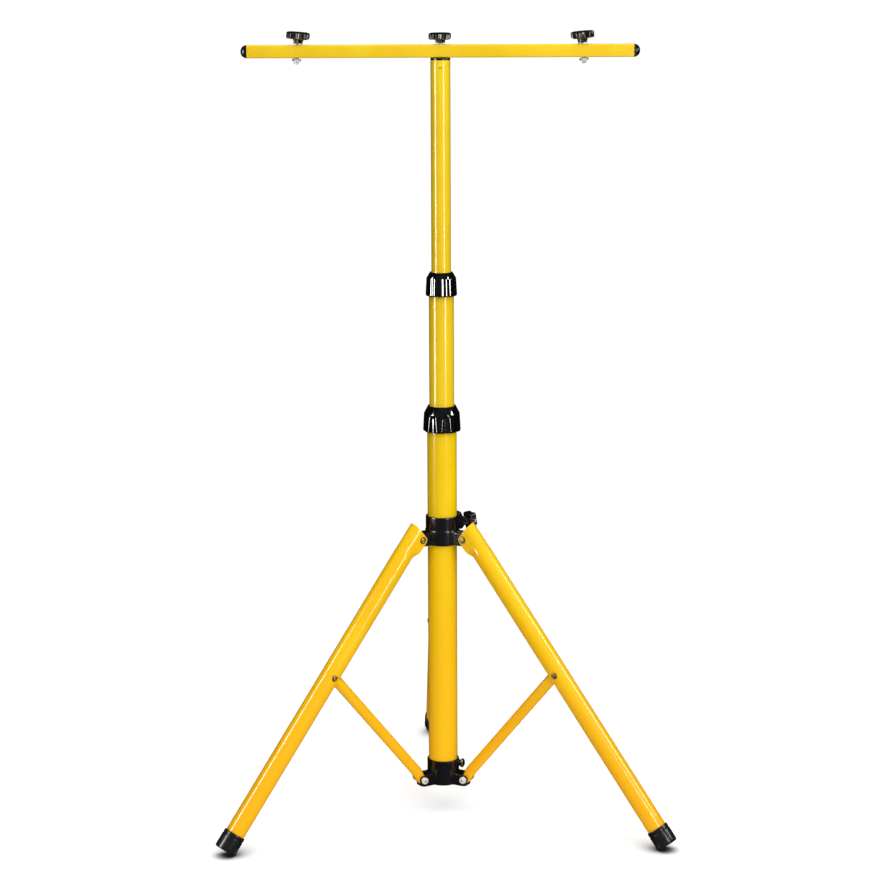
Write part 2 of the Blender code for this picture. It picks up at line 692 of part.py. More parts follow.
def build_collar_knob(mast, collar):
    """The lock knob, whose stud presses on the mast; its axis runs out from the mast."""
    radial = add_guide("collar_knob_axis", mast, (0, 0, COLLAR_KNOB_Z), (0, math.pi / 2, COLLAR_KNOB_TURN))
    insert_r = 0.0046
    insert_start, insert_end = 0.0225, 0.0287
    hole_start, hole_end = 0.0170, 0.0320
    bore = STUD_R + GAP
    stud_hole = rod_mesh("collar_stud_hole", bore, hole_start, hole_end, sides=16)
    cut(collar, add_tool("collar_stud_hole", stud_hole, radial))
    seat = rod_mesh("collar_insert_seat", insert_r + GAP, insert_start - GAP, hole_end, sides=20)
    cut(collar, add_tool("collar_insert_seat", seat, radial))
    ring = [(insert_r, insert_end), (insert_r, insert_start), (bore, insert_start), (bore, insert_end)]
    add_turned("collar_insert", ring, radial, ZINC, steps=20)
    add_stud("collar_stud", radial, LOWER_TUBE_R + GAP, COLLAR_HEAD_TOP - 0.0033)
    add_knob("collar_knob", radial, COLLAR_KNOB_R, COLLAR_KNOB_LOBES, COLLAR_NECK_BOTTOM, COLLAR_HEAD_BOTTOM,
             COLLAR_HEAD_TOP)


# Hub at the mast's foot

def build_hub(mast):
    """A cup on the mast's foot, with a fork for each brace and a boss for the screw."""
    top, bottom = HUB_TOP, HUB_BOTTOM
    chamfer = 0.0006
    points = [(0, top), (HUB_R - chamfer, top), (HUB_R, top - chamfer), (HUB_R, bottom), (0, bottom)]
    hub = add_turned("lower_hub", points, mast, BLACK, closed=False)
    for index, turn in enumerate(LEG_TURNS):
        for name, mesh in (("fork", fork_mesh()), ("web", web_mesh())):
            mesh.transform(Matrix.Rotation(turn, 4, "Z"))
            join(hub, add_tool(f"hub_{name}_{index + 1}", mesh, mast))
    radial = add_guide("hub_screw_axis", mast, (0, 0, HUB_SCREW_Z), (0, math.pi / 2, HUB_SCREW_TURN))
    boss = rod_mesh("hub_boss", HUB_BOSS_R, 0.0150, HUB_SCREW_SEAT - GAP, sides=20)
    join(hub, add_tool("hub_boss", boss, radial))
    seat_r = LOWER_TUBE_R + GAP
    ledge = LOWER_TUBE_BOTTOM - GAP
    bore = [(0, top + 0.01), (seat_r, top + 0.01), (seat_r, ledge), (HUB_LEDGE_R, ledge),
            (HUB_LEDGE_R, bottom - 0.01), (0, bottom - 0.01)]
    cut(hub, add_turned_tool("hub_bore", bore, mast))
    for index, turn in enumerate(LEG_TURNS):
        slot = box_mesh(f"hub_slot_{index + 1}", (HUB_SLOT_START, -HUB_SLOT_HALF, HUB_WEB_TOP),
                        (0.0600, HUB_SLOT_HALF, 0.0800))
        slot.transform(Matrix.Rotation(turn, 4, "Z"))
        cut(hub, add_tool(f"hub_slot_{index + 1}", slot, mast))
        place = Matrix.Rotation(turn, 4, "Z") @ Matrix.Translation((PIVOT_RADIUS, 0, LOWER_PIVOT_Z))
        hole = rod_mesh(f"hub_bolt_hole_{index + 1}", BOLT_HOLE_R, -0.02, 0.02, place @ ALONG_Y, 16)
        cut(hub, add_tool(f"hub_bolt_hole_{index + 1}", hole, mast))
    hole = rod_mesh("hub_screw_hole", BOLT_HOLE_R, 0.0170, 0.0300, sides=16)
    cut(hub, add_tool("hub_screw_hole", hole, radial))
    build_hub_screw(radial, seat_r + OFFSET)


def fork_mesh():
    """The side outline of a fork, before its slot is cut."""
    root, shoulder, heel = 0.0120, 0.0290, 0.0335
    bottom = (HUB_WEB_BOTTOM + HUB_WEB_TOP) / 2
    outline = [(root, HUB_FORK_TOP), (shoulder, HUB_FORK_TOP)]
    outline += arc((PIVOT_RADIUS, LOWER_PIVOT_Z), HUB_EYE_R, 90, -50, 8)
    outline += [(heel, bottom), (root, bottom)]
    return outline_mesh("hub_fork", [outline], 2 * HUB_FORK_HALF, UPRIGHT)


def web_mesh():
    """The plate under a fork, with its outer corners rounded."""
    root = 0.012
    half = HUB_FORK_HALF - 2 * OFFSET
    corner_x, corner_y = HUB_WEB_END - HUB_WEB_CORNER_R, half - HUB_WEB_CORNER_R
    outline = [(root, half), (root, -half)]
    outline += arc((corner_x, -corner_y), HUB_WEB_CORNER_R, -90, 0, 4)
    outline += arc((corner_x, corner_y), HUB_WEB_CORNER_R, 0, 90, 4)
    middle = Matrix.Translation((0, 0, (HUB_WEB_BOTTOM + HUB_WEB_TOP) / 2))
    return outline_mesh("hub_web", [outline], HUB_WEB_TOP - HUB_WEB_BOTTOM, middle)


def build_hub_screw(radial, end):
    """The round-headed screw that holds the hub on the mast's tube."""
    seat, head_r = HUB_SCREW_SEAT, HUB_SCREW_HEAD_R
    points = [(0, seat + 0.0040), (0.0030, seat + 0.0037), (0.0052, seat + 0.0029), (head_r, seat + 0.0018),
              (head_r, seat), (BOLT_R, seat), (BOLT_R, end), (0, end)]
    add_turned("hub_screw", points, radial, GLOSSY, closed=False, steps=20)


def build_hub_bolt(number, lower_pivot):
    """A hexagon bolt and its nut across one pair of hub lugs; the nuts of both front legs face forwards."""
    face = HUB_FORK_HALF + GAP
    facing = ALONG_Y @ Matrix.Rotation(math.pi, 4, "X") if number == 3 else ALONG_Y
    head = rod_mesh(f"hub_bolt_{number}", BOLT_FLATS / math.sqrt(3), -face - BOLT_HEAD, -face, facing, 6)
    bolt = add_piece(f"hub_bolt_{number}", head, lower_pivot, ZINC)
    shank = rod_mesh(f"hub_bolt_shank_{number}", BOLT_R, -face - 0.0010, face + BOLT_END, facing, 16)
    join(bolt, add_tool(f"hub_bolt_shank_{number}", shank, lower_pivot))
    add_hex_nut(f"hub_nut_{number}", lower_pivot, BOLT_FLATS, BOLT_HOLE_R, face, face + BOLT_NUT, facing)


# Legs, braces and feet

def build_leg(number, turn, mast, floor):
    plane = add_guide(f"leg_plane_{number}", mast, rotation=(0, 0, turn))
    upper = add_guide(f"leg_axis_{number}", plane, (PIVOT_RADIUS, 0, UPPER_PIVOT_Z), (0, -LEG_ANGLE, 0))
    lower = add_guide(f"brace_axis_{number}", plane, (PIVOT_RADIUS, 0, LOWER_PIVOT_Z), (0, BRACE_ANGLE, 0))
    build_leg_tube(number, upper)
    build_brace(number, lower)
    build_foot(number, upper, floor)
    add_rivet(f"leg_pin_{number}", upper, (0, 0, 0), CHEEK_HALF + GAP, 0.0028, 0.0045)
    add_rivet(f"mid_rivet_{number}", upper, (LEG_OFFSET, 0, -RIVET_DEPTH), LEG_R + GAP, 0.0026, 0.0040)
    build_hub_bolt(number, lower)


def build_leg_tube(number, upper):
    """A leg: flat cheeks hold the pivot pin, and a slot on its inner side takes the brace."""
    name = f"leg_{number}"
    along = Matrix.Translation((LEG_OFFSET, 0, 0))
    bore_r = LEG_R - LEG_WALL
    tube_bottom = -LEG_LENGTH + FOOT_BASE + GAP
    uncut_top = LEG_TOP + 0.004
    leg = add_piece(name, rod_mesh(name, LEG_R, tube_bottom, uncut_top, along, 28), upper, YELLOW)
    cheek = [(LEG_OFFSET, uncut_top), (-CHEEK_REACH, uncut_top)]
    cheek += arc((0, -0.001), CHEEK_REACH, 180, 220, 4)
    cheek += [(0.0030, CHEEK_BOTTOM), (LEG_OFFSET, CHEEK_BOTTOM)]
    cheek_mesh = outline_mesh(name + "_cheeks", [cheek], 2 * CHEEK_HALF, UPRIGHT)
    join(leg, add_tool(name + "_cheeks", cheek_mesh, upper))
    for side in (-1, 1):
        y0, y1 = sorted((side * CHEEK_HALF, side * 0.020))
        flat = box_mesh(f"{name}_flat_{side}", (-0.020, y0, CHEEK_MOUTH - 0.0080), (0.030, y1, 0.030))
        cut(leg, add_tool(f"{name}_flat_{side}", flat, upper))
    bore = rod_mesh(name + "_bore", bore_r, tube_bottom - 0.01, CHEEK_MOUTH, along, 28)
    cut(leg, add_tool(name + "_bore", bore, upper))
    throat = rod_mesh(name + "_throat", CHEEK_INSIDE, CHEEK_MOUTH - 0.0005, LEG_TOP + 0.01, along, 28)
    cut(leg, add_tool(name + "_throat", throat, upper))
    inside = CHEEK_INSIDE - OFFSET
    mouth = box_mesh(name + "_mouth", (-0.010, -inside, CHEEK_MOUTH), (LEG_OFFSET, inside, 0.020))
    cut(leg, add_tool(name + "_mouth", mouth, upper))
    sloping_top = [(-0.020, LEG_TOP_INNER), (LEG_OFFSET + LEG_R + 0.001, LEG_TOP), (0.030, 0.030),
                   (-0.020, 0.030)]
    top_mesh = outline_mesh(name + "_top_cut", [sloping_top], 0.040, UPRIGHT)
    cut(leg, add_tool(name + "_top_cut", top_mesh, upper))
    slot_x = LEG_OFFSET - bore_r / 2
    half = BRACE_SLOT_HALF
    corner = 0.0040
    depth = 0.0200
    slot_top = -RIVET_DEPTH + BRACE_SLOT_ABOVE
    slot_bottom = -RIVET_DEPTH - BRACE_SLOT_BELOW
    slot_outline = [(-half, slot_top), (-half, slot_bottom + corner), (-half + corner, slot_bottom),
                    (half - corner, slot_bottom), (half, slot_bottom + corner), (half, slot_top)]
    facing = Matrix.Translation((slot_x - depth / 2, 0, 0)) @ Matrix.Rotation(math.pi / 2, 4, "Z") @ UPRIGHT
    slot_mesh = outline_mesh(name + "_slot", [slot_outline], depth, facing)
    cut(leg, add_tool(name + "_slot", slot_mesh, upper))
    pin_hole = rod_mesh(name + "_pin_hole", PIN_HOLE_R, -0.02, 0.02, ALONG_Y, 16)
    cut(leg, add_tool(name + "_pin_hole", pin_hole, upper))
    place = Matrix.Translation((LEG_OFFSET, 0, -RIVET_DEPTH)) @ ALONG_Y
    rivet_hole = rod_mesh(name + "_rivet_hole", RIVET_HOLE_R, -0.02, 0.02, place, 16)
    cut(leg, add_tool(name + "_rivet_hole", rivet_hole, upper))


def build_brace(number, lower):
    """A brace tube with an eye at each end, whose holes lie just below the tube's middle."""
    name = f"brace_{number}"
    end_gap, plugged = 0.0010, 0.0100
    along = Matrix.Translation((-BRACE_OFFSET, 0, 0))
    tube = rod_mesh(name, BRACE_R, end_gap, LINK_LENGTH - end_gap, along, 20)
    brace = add_piece(name, tube, lower, YELLOW)
    for end, z in (("lower", 0), ("upper", LINK_LENGTH)):
        place = Matrix.Translation((0, 0, z)) @ ALONG_Y
        eye = rod_mesh(f"{name}_{end}_eye", BRACE_EYE_R, -BRACE_EYE_HALF, BRACE_EYE_HALF, place, 16)
        join(brace, add_tool(f"{name}_{end}_eye", eye, lower))
    hollow = rod_mesh(name + "_hollow", BRACE_R - BRACE_WALL, plugged, LINK_LENGTH - plugged, along, 16)
    cut(brace, add_tool(name + "_hollow", hollow, lower))
    for end, z, radius in (("lower", 0, BOLT_HOLE_R), ("upper", LINK_LENGTH, RIVET_HOLE_R)):
        place = Matrix.Translation((0, 0, z)) @ ALONG_Y
        hole = rod_mesh(f"{name}_{end}_hole", radius, -0.02, 0.02, place, 16)
        cut(brace, add_tool(f"{name}_{end}_hole", hole, lower))
    drain = rod_mesh(name + "_drain", 0.0015, 0, 0.010, Matrix.Translation((0, 0, 0.020)) @ ALONG_X, 12)
    cut(brace, add_tool(name + "_drain", drain, lower))


def build_foot(number, upper, floor):
    """A rubber cap on the leg's end, worn flat where it meets the floor."""
    base = -LEG_LENGTH
    top = base + FOOT_LENGTH
    seat_r = LEG_R + GAP
    rim, worn_edge = 0.0008, 0.0012
    points = [(0, base + FOOT_BASE), (seat_r, base + FOOT_BASE), (seat_r, top), (FOOT_R - rim, top),
              (FOOT_R, top - rim), (FOOT_R, base + worn_edge), (FOOT_EDGE_R, base), (0, base)]
    foot = add_turned(f"foot_{number}", points, upper, RUBBER, closed=False, steps=28)
    foot.location = (LEG_OFFSET, 0, 0)
    cut(foot, floor)


# Placing the whole object

def foot_reach(turn, direction):
    """How far a foot's bottom rim reaches from the mast's axis, along a level direction."""
    outwards = Vector((math.cos(turn), math.sin(turn), 0))
    down_leg = outwards * math.sin(LEG_ANGLE) - Vector((0, 0, math.cos(LEG_ANGLE)))
    rim = FOOT_R * math.sqrt(1 - down_leg.dot(direction)**2)
    return FOOT_RADIUS * outwards.dot(direction) + rim


def mast_place():
    """The mast's axis, so that the middle of the object's box lies over the origin."""
    place = []
    for axis in (Vector((1, 0, 0)), Vector((0, 1, 0))):
        high = max(foot_reach(turn, axis) for turn in LEG_TURNS)
        low = max(foot_reach(turn, -axis) for turn in LEG_TURNS)
        place.append((low - high) / 2)
    return place


def build_tripod():
    mast = add_guide("mast_axis", location=(*mast_place(), 0))
    floor = add_tool("floor", box_mesh("floor", (-0.6, -0.6, -0.1), (0.6, 0.6, 0)), None)
    build_mast(mast)
    build_crossbar(add_guide("crossbar_axis", mast, (0, 0, BAR_CENTRE_Z)))
    build_leg_collar(mast)
    build_hub(mast)
    for index, turn in enumerate(LEG_TURNS):
        build_leg(index + 1, turn, mast, floor)


build_tripod()
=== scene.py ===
"""Looks of the floodlight tripod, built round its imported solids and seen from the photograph's angle."""
import json
import math

import bmesh
import bpy
from mathutils import Matrix, Vector


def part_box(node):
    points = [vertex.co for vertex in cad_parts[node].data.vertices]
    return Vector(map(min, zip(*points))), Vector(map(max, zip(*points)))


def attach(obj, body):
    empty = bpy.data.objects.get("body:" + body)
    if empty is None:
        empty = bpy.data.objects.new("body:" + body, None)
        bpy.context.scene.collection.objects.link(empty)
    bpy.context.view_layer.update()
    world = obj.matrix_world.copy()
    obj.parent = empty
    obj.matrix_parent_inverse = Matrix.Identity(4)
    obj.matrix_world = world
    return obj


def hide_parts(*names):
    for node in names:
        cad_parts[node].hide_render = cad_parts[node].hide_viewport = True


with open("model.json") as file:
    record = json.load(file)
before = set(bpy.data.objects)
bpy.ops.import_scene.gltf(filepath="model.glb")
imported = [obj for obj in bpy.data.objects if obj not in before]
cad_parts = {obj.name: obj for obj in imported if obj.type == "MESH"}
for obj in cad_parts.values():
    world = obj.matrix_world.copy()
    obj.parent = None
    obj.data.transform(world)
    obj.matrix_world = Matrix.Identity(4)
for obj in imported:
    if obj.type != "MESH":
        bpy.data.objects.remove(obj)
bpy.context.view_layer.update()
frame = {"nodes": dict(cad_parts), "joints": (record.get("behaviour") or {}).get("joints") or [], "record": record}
NODES = frame["nodes"]
JOINTS = {joint["name"]: joint for joint in frame["joints"]}
NODE_BODY = {node: body for body, nodes in frame["record"]["behaviour"]["bodies"].items() for node in nodes}

# Places read from the frame, in metres
low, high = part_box("mast_lower_tube")
MAST = Vector(((low.x + high.x) / 2, (low.y + high.y) / 2, 0))
LOWER_TUBE_R = (high.x - low.x) / 2
LOWER_TUBE_BOTTOM, LOWER_TUBE_TOP = low.z, high.z
low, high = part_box("mast_middle_tube")
MIDDLE_TUBE_R = (high.x - low.x) / 2
MIDDLE_TUBE_BOTTOM, MIDDLE_TUBE_TOP = low.z, high.z
low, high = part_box("mast_upper_tube")
UPPER_TUBE_R = (high.x - low.x) / 2
UPPER_TUBE_BOTTOM, UPPER_TUBE_TOP = low.z, high.z
low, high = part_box("crossbar")
BAR_SIZE = high.y - low.y
BAR_HALF = (high.x - low.x) / 2
BAR_CENTRE = (low + high) / 2
UPPER_PIVOT = Vector(JOINTS["collar_fold"]["pos_m"])
LOWER_PIVOT = Vector(JOINTS["legs_fold"]["pos_m"])
MID_RIVET = Vector(JOINTS["rivet_1_fold"]["pos_m"])
PIVOT_RADIUS = (UPPER_PIVOT - MAST).to_2d().length
LINK_LENGTH = (MID_RIVET - LOWER_PIVOT).length

# Sizes of the tripod's parts, in metres
GAP = 0.0003
TUBE_WALL = 0.0013
BAR_WALL = 0.0015
LEG_R = 0.0125
LEG_WALL = 0.0014
LEG_OFFSET = 0.0080
LEG_LENGTH = 0.4650
CHEEK_HALF = 0.0110
BRACE_R = 0.0070
BRACE_OFFSET = 0.0023
FORK_HALF = 0.0098
STUD_R = 0.0030
STUD_PITCH = 0.0010
BOLT_R = 0.0025
BOLT_PITCH = 0.0008
MOULD_CELL = 0.0005

BRACE_ANGLE = math.acos((MID_RIVET.z - LOWER_PIVOT.z) / LINK_LENGTH)
LEG_ANGLE = BRACE_ANGLE - math.asin(LEG_OFFSET / LINK_LENGTH)
RIVET_DEPTH = math.sqrt(LINK_LENGTH**2 - LEG_OFFSET**2)
LEGS = (1, 2, 3)
FOLD_JOINTS = {1: "legs_fold", 2: "brace_2_fold", 3: "brace_3_fold"}

ALONG_X = Matrix.Rotation(math.pi / 2, 4, "Y")
ALONG_Y = Matrix.Rotation(-math.pi / 2, 4, "X")
UPRIGHT = Matrix.Rotation(math.pi / 2, 4, "X")


def leg_turn(number):
    """The turn from +X to a leg's direction, read from its hinge's axis."""
    x, y, _ = JOINTS[FOLD_JOINTS[number]]["axis"]
    return Matrix.Rotation(math.atan2(x, -y), 4, "Z")


def hinge_place(number, height, lean):
    """A leg's own place at a hinge of this height, leaning out by this angle."""
    in_plane = Matrix.Translation(MAST) @ leg_turn(number)
    return in_plane @ Matrix.Translation((PIVOT_RADIUS, 0, height)) @ Matrix.Rotation(lean, 4, "Y")


def upper_place(number):
    """The leg's own place: its pivot at the origin, and the leg running down along -Z."""
    return hinge_place(number, UPPER_PIVOT.z, -LEG_ANGLE)


def lower_place(number):
    """The brace's own place: its lower pivot at the origin, and the brace running up along +Z."""
    return hinge_place(number, LOWER_PIVOT.z, BRACE_ANGLE)


def joint_place(name):
    """A place on a joint's axis, with +Z along the axis."""
    turn = Vector(JOINTS[name]["axis"]).to_track_quat("Z", "X").to_matrix().to_4x4()
    return Matrix.Translation(Vector(JOINTS[name]["pos_m"])) @ turn


# Node graphs

class Wire:
    """A socket in a node graph; arithmetic on it adds Math nodes."""

    def __init__(self, graph, socket):
        self.graph = graph
        self.socket = socket

    def __add__(self, other):
        return self.graph.maths("ADD", self, other)

    __radd__ = __add__

    def __sub__(self, other):
        return self.graph.maths("SUBTRACT", self, other)

    def __rsub__(self, other):
        return self.graph.maths("SUBTRACT", other, self)

    def __mul__(self, other):
        return self.graph.maths("MULTIPLY", self, other)

    __rmul__ = __mul__

    def __truediv__(self, other):
        return self.graph.maths("DIVIDE", self, other)

    def __pow__(self, other):
        return self.graph.maths("POWER", self, other)


class Graph:
    """Adds nodes to one tree, and links them."""

    def __init__(self, tree):
        self.tree = tree

    def plug(self, socket, value):
        if isinstance(value, Wire):
            self.tree.links.new(value.socket, socket)
        else:
            socket.default_value = value

    def add(self, kind, settings=None, sockets=None):
        """A node of this kind, with its settings made first and then its sockets set or linked."""
        node = self.tree.nodes.new(kind)
        for name, value in (settings or {}).items():
            setattr(node, name, value)
        for name, value in (sockets or {}).items():
            self.plug(node.inputs[name], value)
        return node

    def wire(self, kind, settings=None, sockets=None, output=0):
        return Wire(self, self.add(kind, settings, sockets).outputs[output])

    def maths(self, operation, a, b=0.0):
        return self.wire("ShaderNodeMath", {"operation": operation}, {0: a, 1: b})

    def split(self, vector):
        node = self.add("ShaderNodeSeparateXYZ", sockets={0: vector})
        return [Wire(self, node.outputs[axis]) for axis in range(3)]

    def join(self, x, y, z):
        return self.wire("ShaderNodeCombineXYZ", sockets={0: x, 1: y, 2: z})

    def smooth_step(self, value, start, end):
        """0 below the start, 1 above the end, and a smooth rise between them."""
        sockets = {"Value": value, "From Min": start, "From Max": end}
        return self.wire("ShaderNodeMapRange", {"interpolation_type": "SMOOTHSTEP"}, sockets)


# Materials

class Finish(Graph):
    """A material's graph, with the patterns that the finishes share."""

    def __init__(self, name):
        self.material = bpy.data.materials.new(name)
        self.material.use_nodes = True
        super().__init__(self.material.node_tree)
        self.shader = self.tree.nodes["Principled BSDF"]

    def place(self, stretch=(1, 1, 1)):
        here = self.wire("ShaderNodeTexCoord", output="Object")
        return self.wire("ShaderNodeMapping", sockets={"Vector": here, "Scale": stretch})

    def noise(self, size, detail=2.0, stretch=(1, 1, 1), roughness=0.5):
        """Noise with features of about this size in metres, stretched along the axes."""
        return self.wire("ShaderNodeTexNoise", sockets={
            "Vector": self.place(stretch), "Scale": 1 / size, "Detail": detail, "Roughness": roughness})

    def mix(self, factor, a, b):
        settings = {"data_type": "RGBA"}
        return self.wire("ShaderNodeMix", settings, {0: factor, 6: a, 7: b}, output=2)

    def bump(self, height, depth):
        """A bumpy surface, with the depth in metres."""
        return self.wire("ShaderNodeBump", sockets={"Height": height, "Distance": depth, "Strength": 1.0})

    def finish(self, sockets):
        """The material, with these sockets of its shader set or linked."""
        for name, value in sockets.items():
            self.plug(self.shader.inputs[name], value)
        return self.material


def grey(level, blue=None):
    """A grey, or with its own blue part a tinted one."""
    return (level, level, level if blue is None else blue, 1)


def paint(name, colour, painted_shade_green, painted_shade_below, painted_shade_gone_above, roughness=0.25):
    """Glossy enamel on steel: a faint orange peel, handling marks, and painted shade that turns the colour more
    orange towards the bottom.
    """
    finish = Finish(name)
    drift_size, speck_size, scuff_size, peel_size, peel_depth = 0.09, 0.0016, 0.004, 0.0022, 0.000008
    red, green, blue = colour
    deep = (red * 0.95, green * 0.91, blue * 0.8, 1)
    light = (min(red * 1.02, 1), min(green * 1.05, 1), blue * 1.3, 1)
    painted_shade_colour = (red, painted_shade_green, blue, 1)
    speck = (red * 0.55, green * 0.5, blue * 0.5, 1)
    rubbed = (min(red * 1.05, 1), min(green * 1.15, 1), 0.03, 1)
    drift = finish.noise(drift_size, 3)
    even = finish.mix(finish.smooth_step(drift, 0.3, 0.7), deep, light)
    # Painted shade: the colour turns the darker orange towards the bottom, standing in for the light falling off
    # downwards.
    _, _, height = finish.split(finish.place())
    tone_with_painted_shade = finish.mix(finish.smooth_step(height, painted_shade_below, painted_shade_gone_above), painted_shade_colour, even)
    specks = finish.smooth_step(finish.noise(speck_size, 1), 0.71, 0.78)
    scuffs = finish.smooth_step(finish.noise(scuff_size, 4, (1, 1, 0.06), 0.7), 0.66, 0.8)
    shade = finish.mix(scuffs * 0.22, finish.mix(specks * 0.35, tone_with_painted_shade, speck), rubbed)
    rough = roughness + drift * 0.10 + scuffs * 0.22
    peel = finish.bump(finish.noise(peel_size, 2), peel_depth)
    return finish.finish({"Specular IOR Level": 0.08, "Coat Roughness": 0.15, "Coat Weight": 1.0,
                          "Base Color": shade, "Roughness": rough, "Normal": peel})


def moulded_plastic(name, level, roughness, shine, ior, grain_size, grain_depth):
    """Black plastic from a mould: fine grain, flow marks and paler rubbed spots."""
    finish = Finish(name)
    flow_size, rub_size = 0.02, 0.006
    flow = finish.noise(flow_size, 3, (1, 1, 0.4))
    rubbed = finish.smooth_step(finish.noise(rub_size, 4, roughness=0.65), 0.58, 0.8)
    base = finish.mix(flow, grey(level * 0.75, level * 0.78), grey(level * 1.3, level * 1.32))
    shade = finish.mix(rubbed * 0.5, base, grey(level * 2.6, level * 2.7))
    grain = finish.noise(grain_size, 2)
    rough = roughness * (1 + grain * 0.3) + rubbed * 0.10
    return finish.finish({"IOR": ior, "Specular IOR Level": shine, "Coat Weight": shine * 0.8,
                          "Coat Roughness": roughness * 0.5, "Base Color": shade, "Roughness": rough,
                          "Normal": finish.bump(grain, grain_depth)})


def rubber(name):
    """Black rubber with a soft shine, dusty where it meets the floor."""
    finish = Finish(name)
    cloud_size, pore_size, pore_depth = 0.007, 0.0009, 0.00004
    dust_full, dust_end = 0.001, 0.014
    dust_colour = (0.12, 0.11, 0.095, 1)
    _, _, height = finish.split(finish.place())
    cloudy = finish.noise(cloud_size, 4, roughness=0.65)
    dust = (1 - finish.smooth_step(height, dust_full, dust_end)) * finish.smooth_step(cloudy, 0.35, 0.65)
    base = finish.mix(cloudy, grey(0.006), grey(0.014))
    shade = finish.mix(dust * 0.45, base, dust_colour)
    rough = 0.33 + cloudy * 0.14 + dust * 0.25
    pores = finish.bump(finish.noise(pore_size, 3), pore_depth)
    return finish.finish({"Specular IOR Level": 0.10, "Coat Weight": 0.9, "Coat Roughness": 0.24,
                          "Base Color": shade, "Roughness": rough, "Normal": pores})


def zinc(name):
    """Bright zinc plating: a mottled sheen with fine tool marks, and painted shade, near black, in a piece's
    marked recess.
    """
    finish = Finish(name)
    mottle_size, warm_size, mark_size, mark_depth = 0.0022, 0.006, 0.0005, 0.000006
    cool, pale, straw = (0.74, 0.75, 0.77, 1), (0.93, 0.93, 0.92, 1), (0.80, 0.74, 0.58, 1)
    mottle = finish.noise(mottle_size, 4, roughness=0.6)
    warm = finish.smooth_step(finish.noise(warm_size, 2), 0.45, 0.7)
    tinted = finish.mix(warm * 0.35, finish.mix(mottle, cool, pale), straw)
    # Painted shade: where a piece marks its recess, the zinc turns near black.
    painted_shade_recess = finish.wire("ShaderNodeAttribute", {"attribute_name": "painted_shade_recess"}, output="Fac")
    shade = finish.mix(painted_shade_recess, tinted, grey(0.004))
    marks = finish.bump(finish.noise(mark_size, 2, (1, 1, 6)), mark_depth)
    return finish.finish({"Metallic": 0.25, "Base Color": shade, "Roughness": 0.30 + mottle * 0.14,
                          "Normal": marks})


def dark_steel(name):
    """Blackened rivet steel, worn brighter in patches."""
    finish = Finish(name)
    patch_size, grain_size, grain_depth = 0.0016, 0.0006, 0.00003
    worn = finish.smooth_step(finish.noise(patch_size, 4, roughness=0.7), 0.38, 0.62)
    shade = finish.mix(worn, (0.16, 0.09, 0.03, 1), (0.62, 0.46, 0.22, 1))
    grain = finish.bump(finish.noise(grain_size, 3), grain_depth)
    return finish.finish({"Base Color": shade, "Metallic": 0.75 + worn * 0.25,
                          "Roughness": 0.46 - worn * 0.14, "Normal": grain})


def nylon(name):
    """Natural nylon, slightly mottled."""
    finish = Finish(name)
    mottle_size, grain_size, grain_depth = 0.005, 0.0008, 0.00002
    mottle = finish.noise(mottle_size, 3)
    shade = finish.mix(mottle, (0.60, 0.58, 0.50, 1), (0.72, 0.70, 0.63, 1))
    grain = finish.bump(finish.noise(grain_size, 2), grain_depth)
    return finish.finish({"Specular IOR Level": 0.4, "Base Color": shade,
                          "Roughness": 0.42 + mottle * 0.15, "Normal": grain})


def pale_floor(name):
    """A plain pale floor, faintly uneven, with a painted contact shadow round whatever touches it, that fades into
    the white room.
    """
    finish = Finish(name)
    cloud_size, painted_shadow_reach = 0.6, 0.036
    fade_start, fade_end = 0.42, 1.1
    cloudy = finish.noise(cloud_size, 2)
    pale = finish.mix(cloudy, grey(0.91), grey(0.94))
    reach = {"Distance": painted_shadow_reach}
    # Painted contact shadow: near another surface the floor's colour and glow turn near black.
    painted_shadow_openness = finish.wire("ShaderNodeAmbientOcclusion", {"samples": 24}, reach, output="AO")
    shade = finish.mix(finish.smooth_step(painted_shadow_openness, 0.22, 0.96), grey(0.01), pale)
    x, y, _ = finish.split(finish.place())
    near = 1 - finish.smooth_step(finish.maths("SQRT", x * x + y * y), fade_start, fade_end)
    return finish.finish({"Specular IOR Level": 0.1, "Emission Strength": 0.70, "Emission Color": shade,
                          "Base Color": finish.mix(0.5, shade, grey(0)), "Roughness": 0.8 + cloudy * 0.1,
                          "Alpha": near})


# The two heights give where each paint's painted shade is full and where it is gone.
LEMON_PAINT = paint("yellow_paint_bar", (0.90, 0.600, 0.010),
                    painted_shade_green=0.590, painted_shade_below=0.50, painted_shade_gone_above=0.70)
MAST_PAINT = paint("yellow_paint_mast", (0.94, 0.620, 0.003),
                   painted_shade_green=0.510, painted_shade_below=0.08, painted_shade_gone_above=0.52)
LEG_PAINT = paint("yellow_paint_legs", (0.94, 0.550, 0.002),
                  painted_shade_green=0.445, painted_shade_below=0.04, painted_shade_gone_above=0.36, roughness=0.28)
BLACK = moulded_plastic("satin_black", level=0.005, roughness=0.22, shine=0.5, ior=1.6,
                        grain_size=0.0014, grain_depth=0.000004)
GLOSSY = moulded_plastic("glossy_black", level=0.002, roughness=0.08, shine=1.0, ior=1.9,
                         grain_size=0.0080, grain_depth=0.000008)
RUBBER = rubber("foot_rubber")
ZINC = zinc("zinc_plating")
DARK = dark_steel("rivet_steel")
NYLON = nylon("natural_nylon")
FLOOR = pale_floor("floor_paint")


# Making and finishing pieces

def scene_object(name, mesh):
    thing = bpy.data.objects.new(name, mesh)
    bpy.context.scene.collection.objects.link(thing)
    return thing


def as_mesh(shape, name):
    mesh = bpy.data.meshes.new(name)
    shape.to_mesh(mesh)
    shape.free()
    return mesh


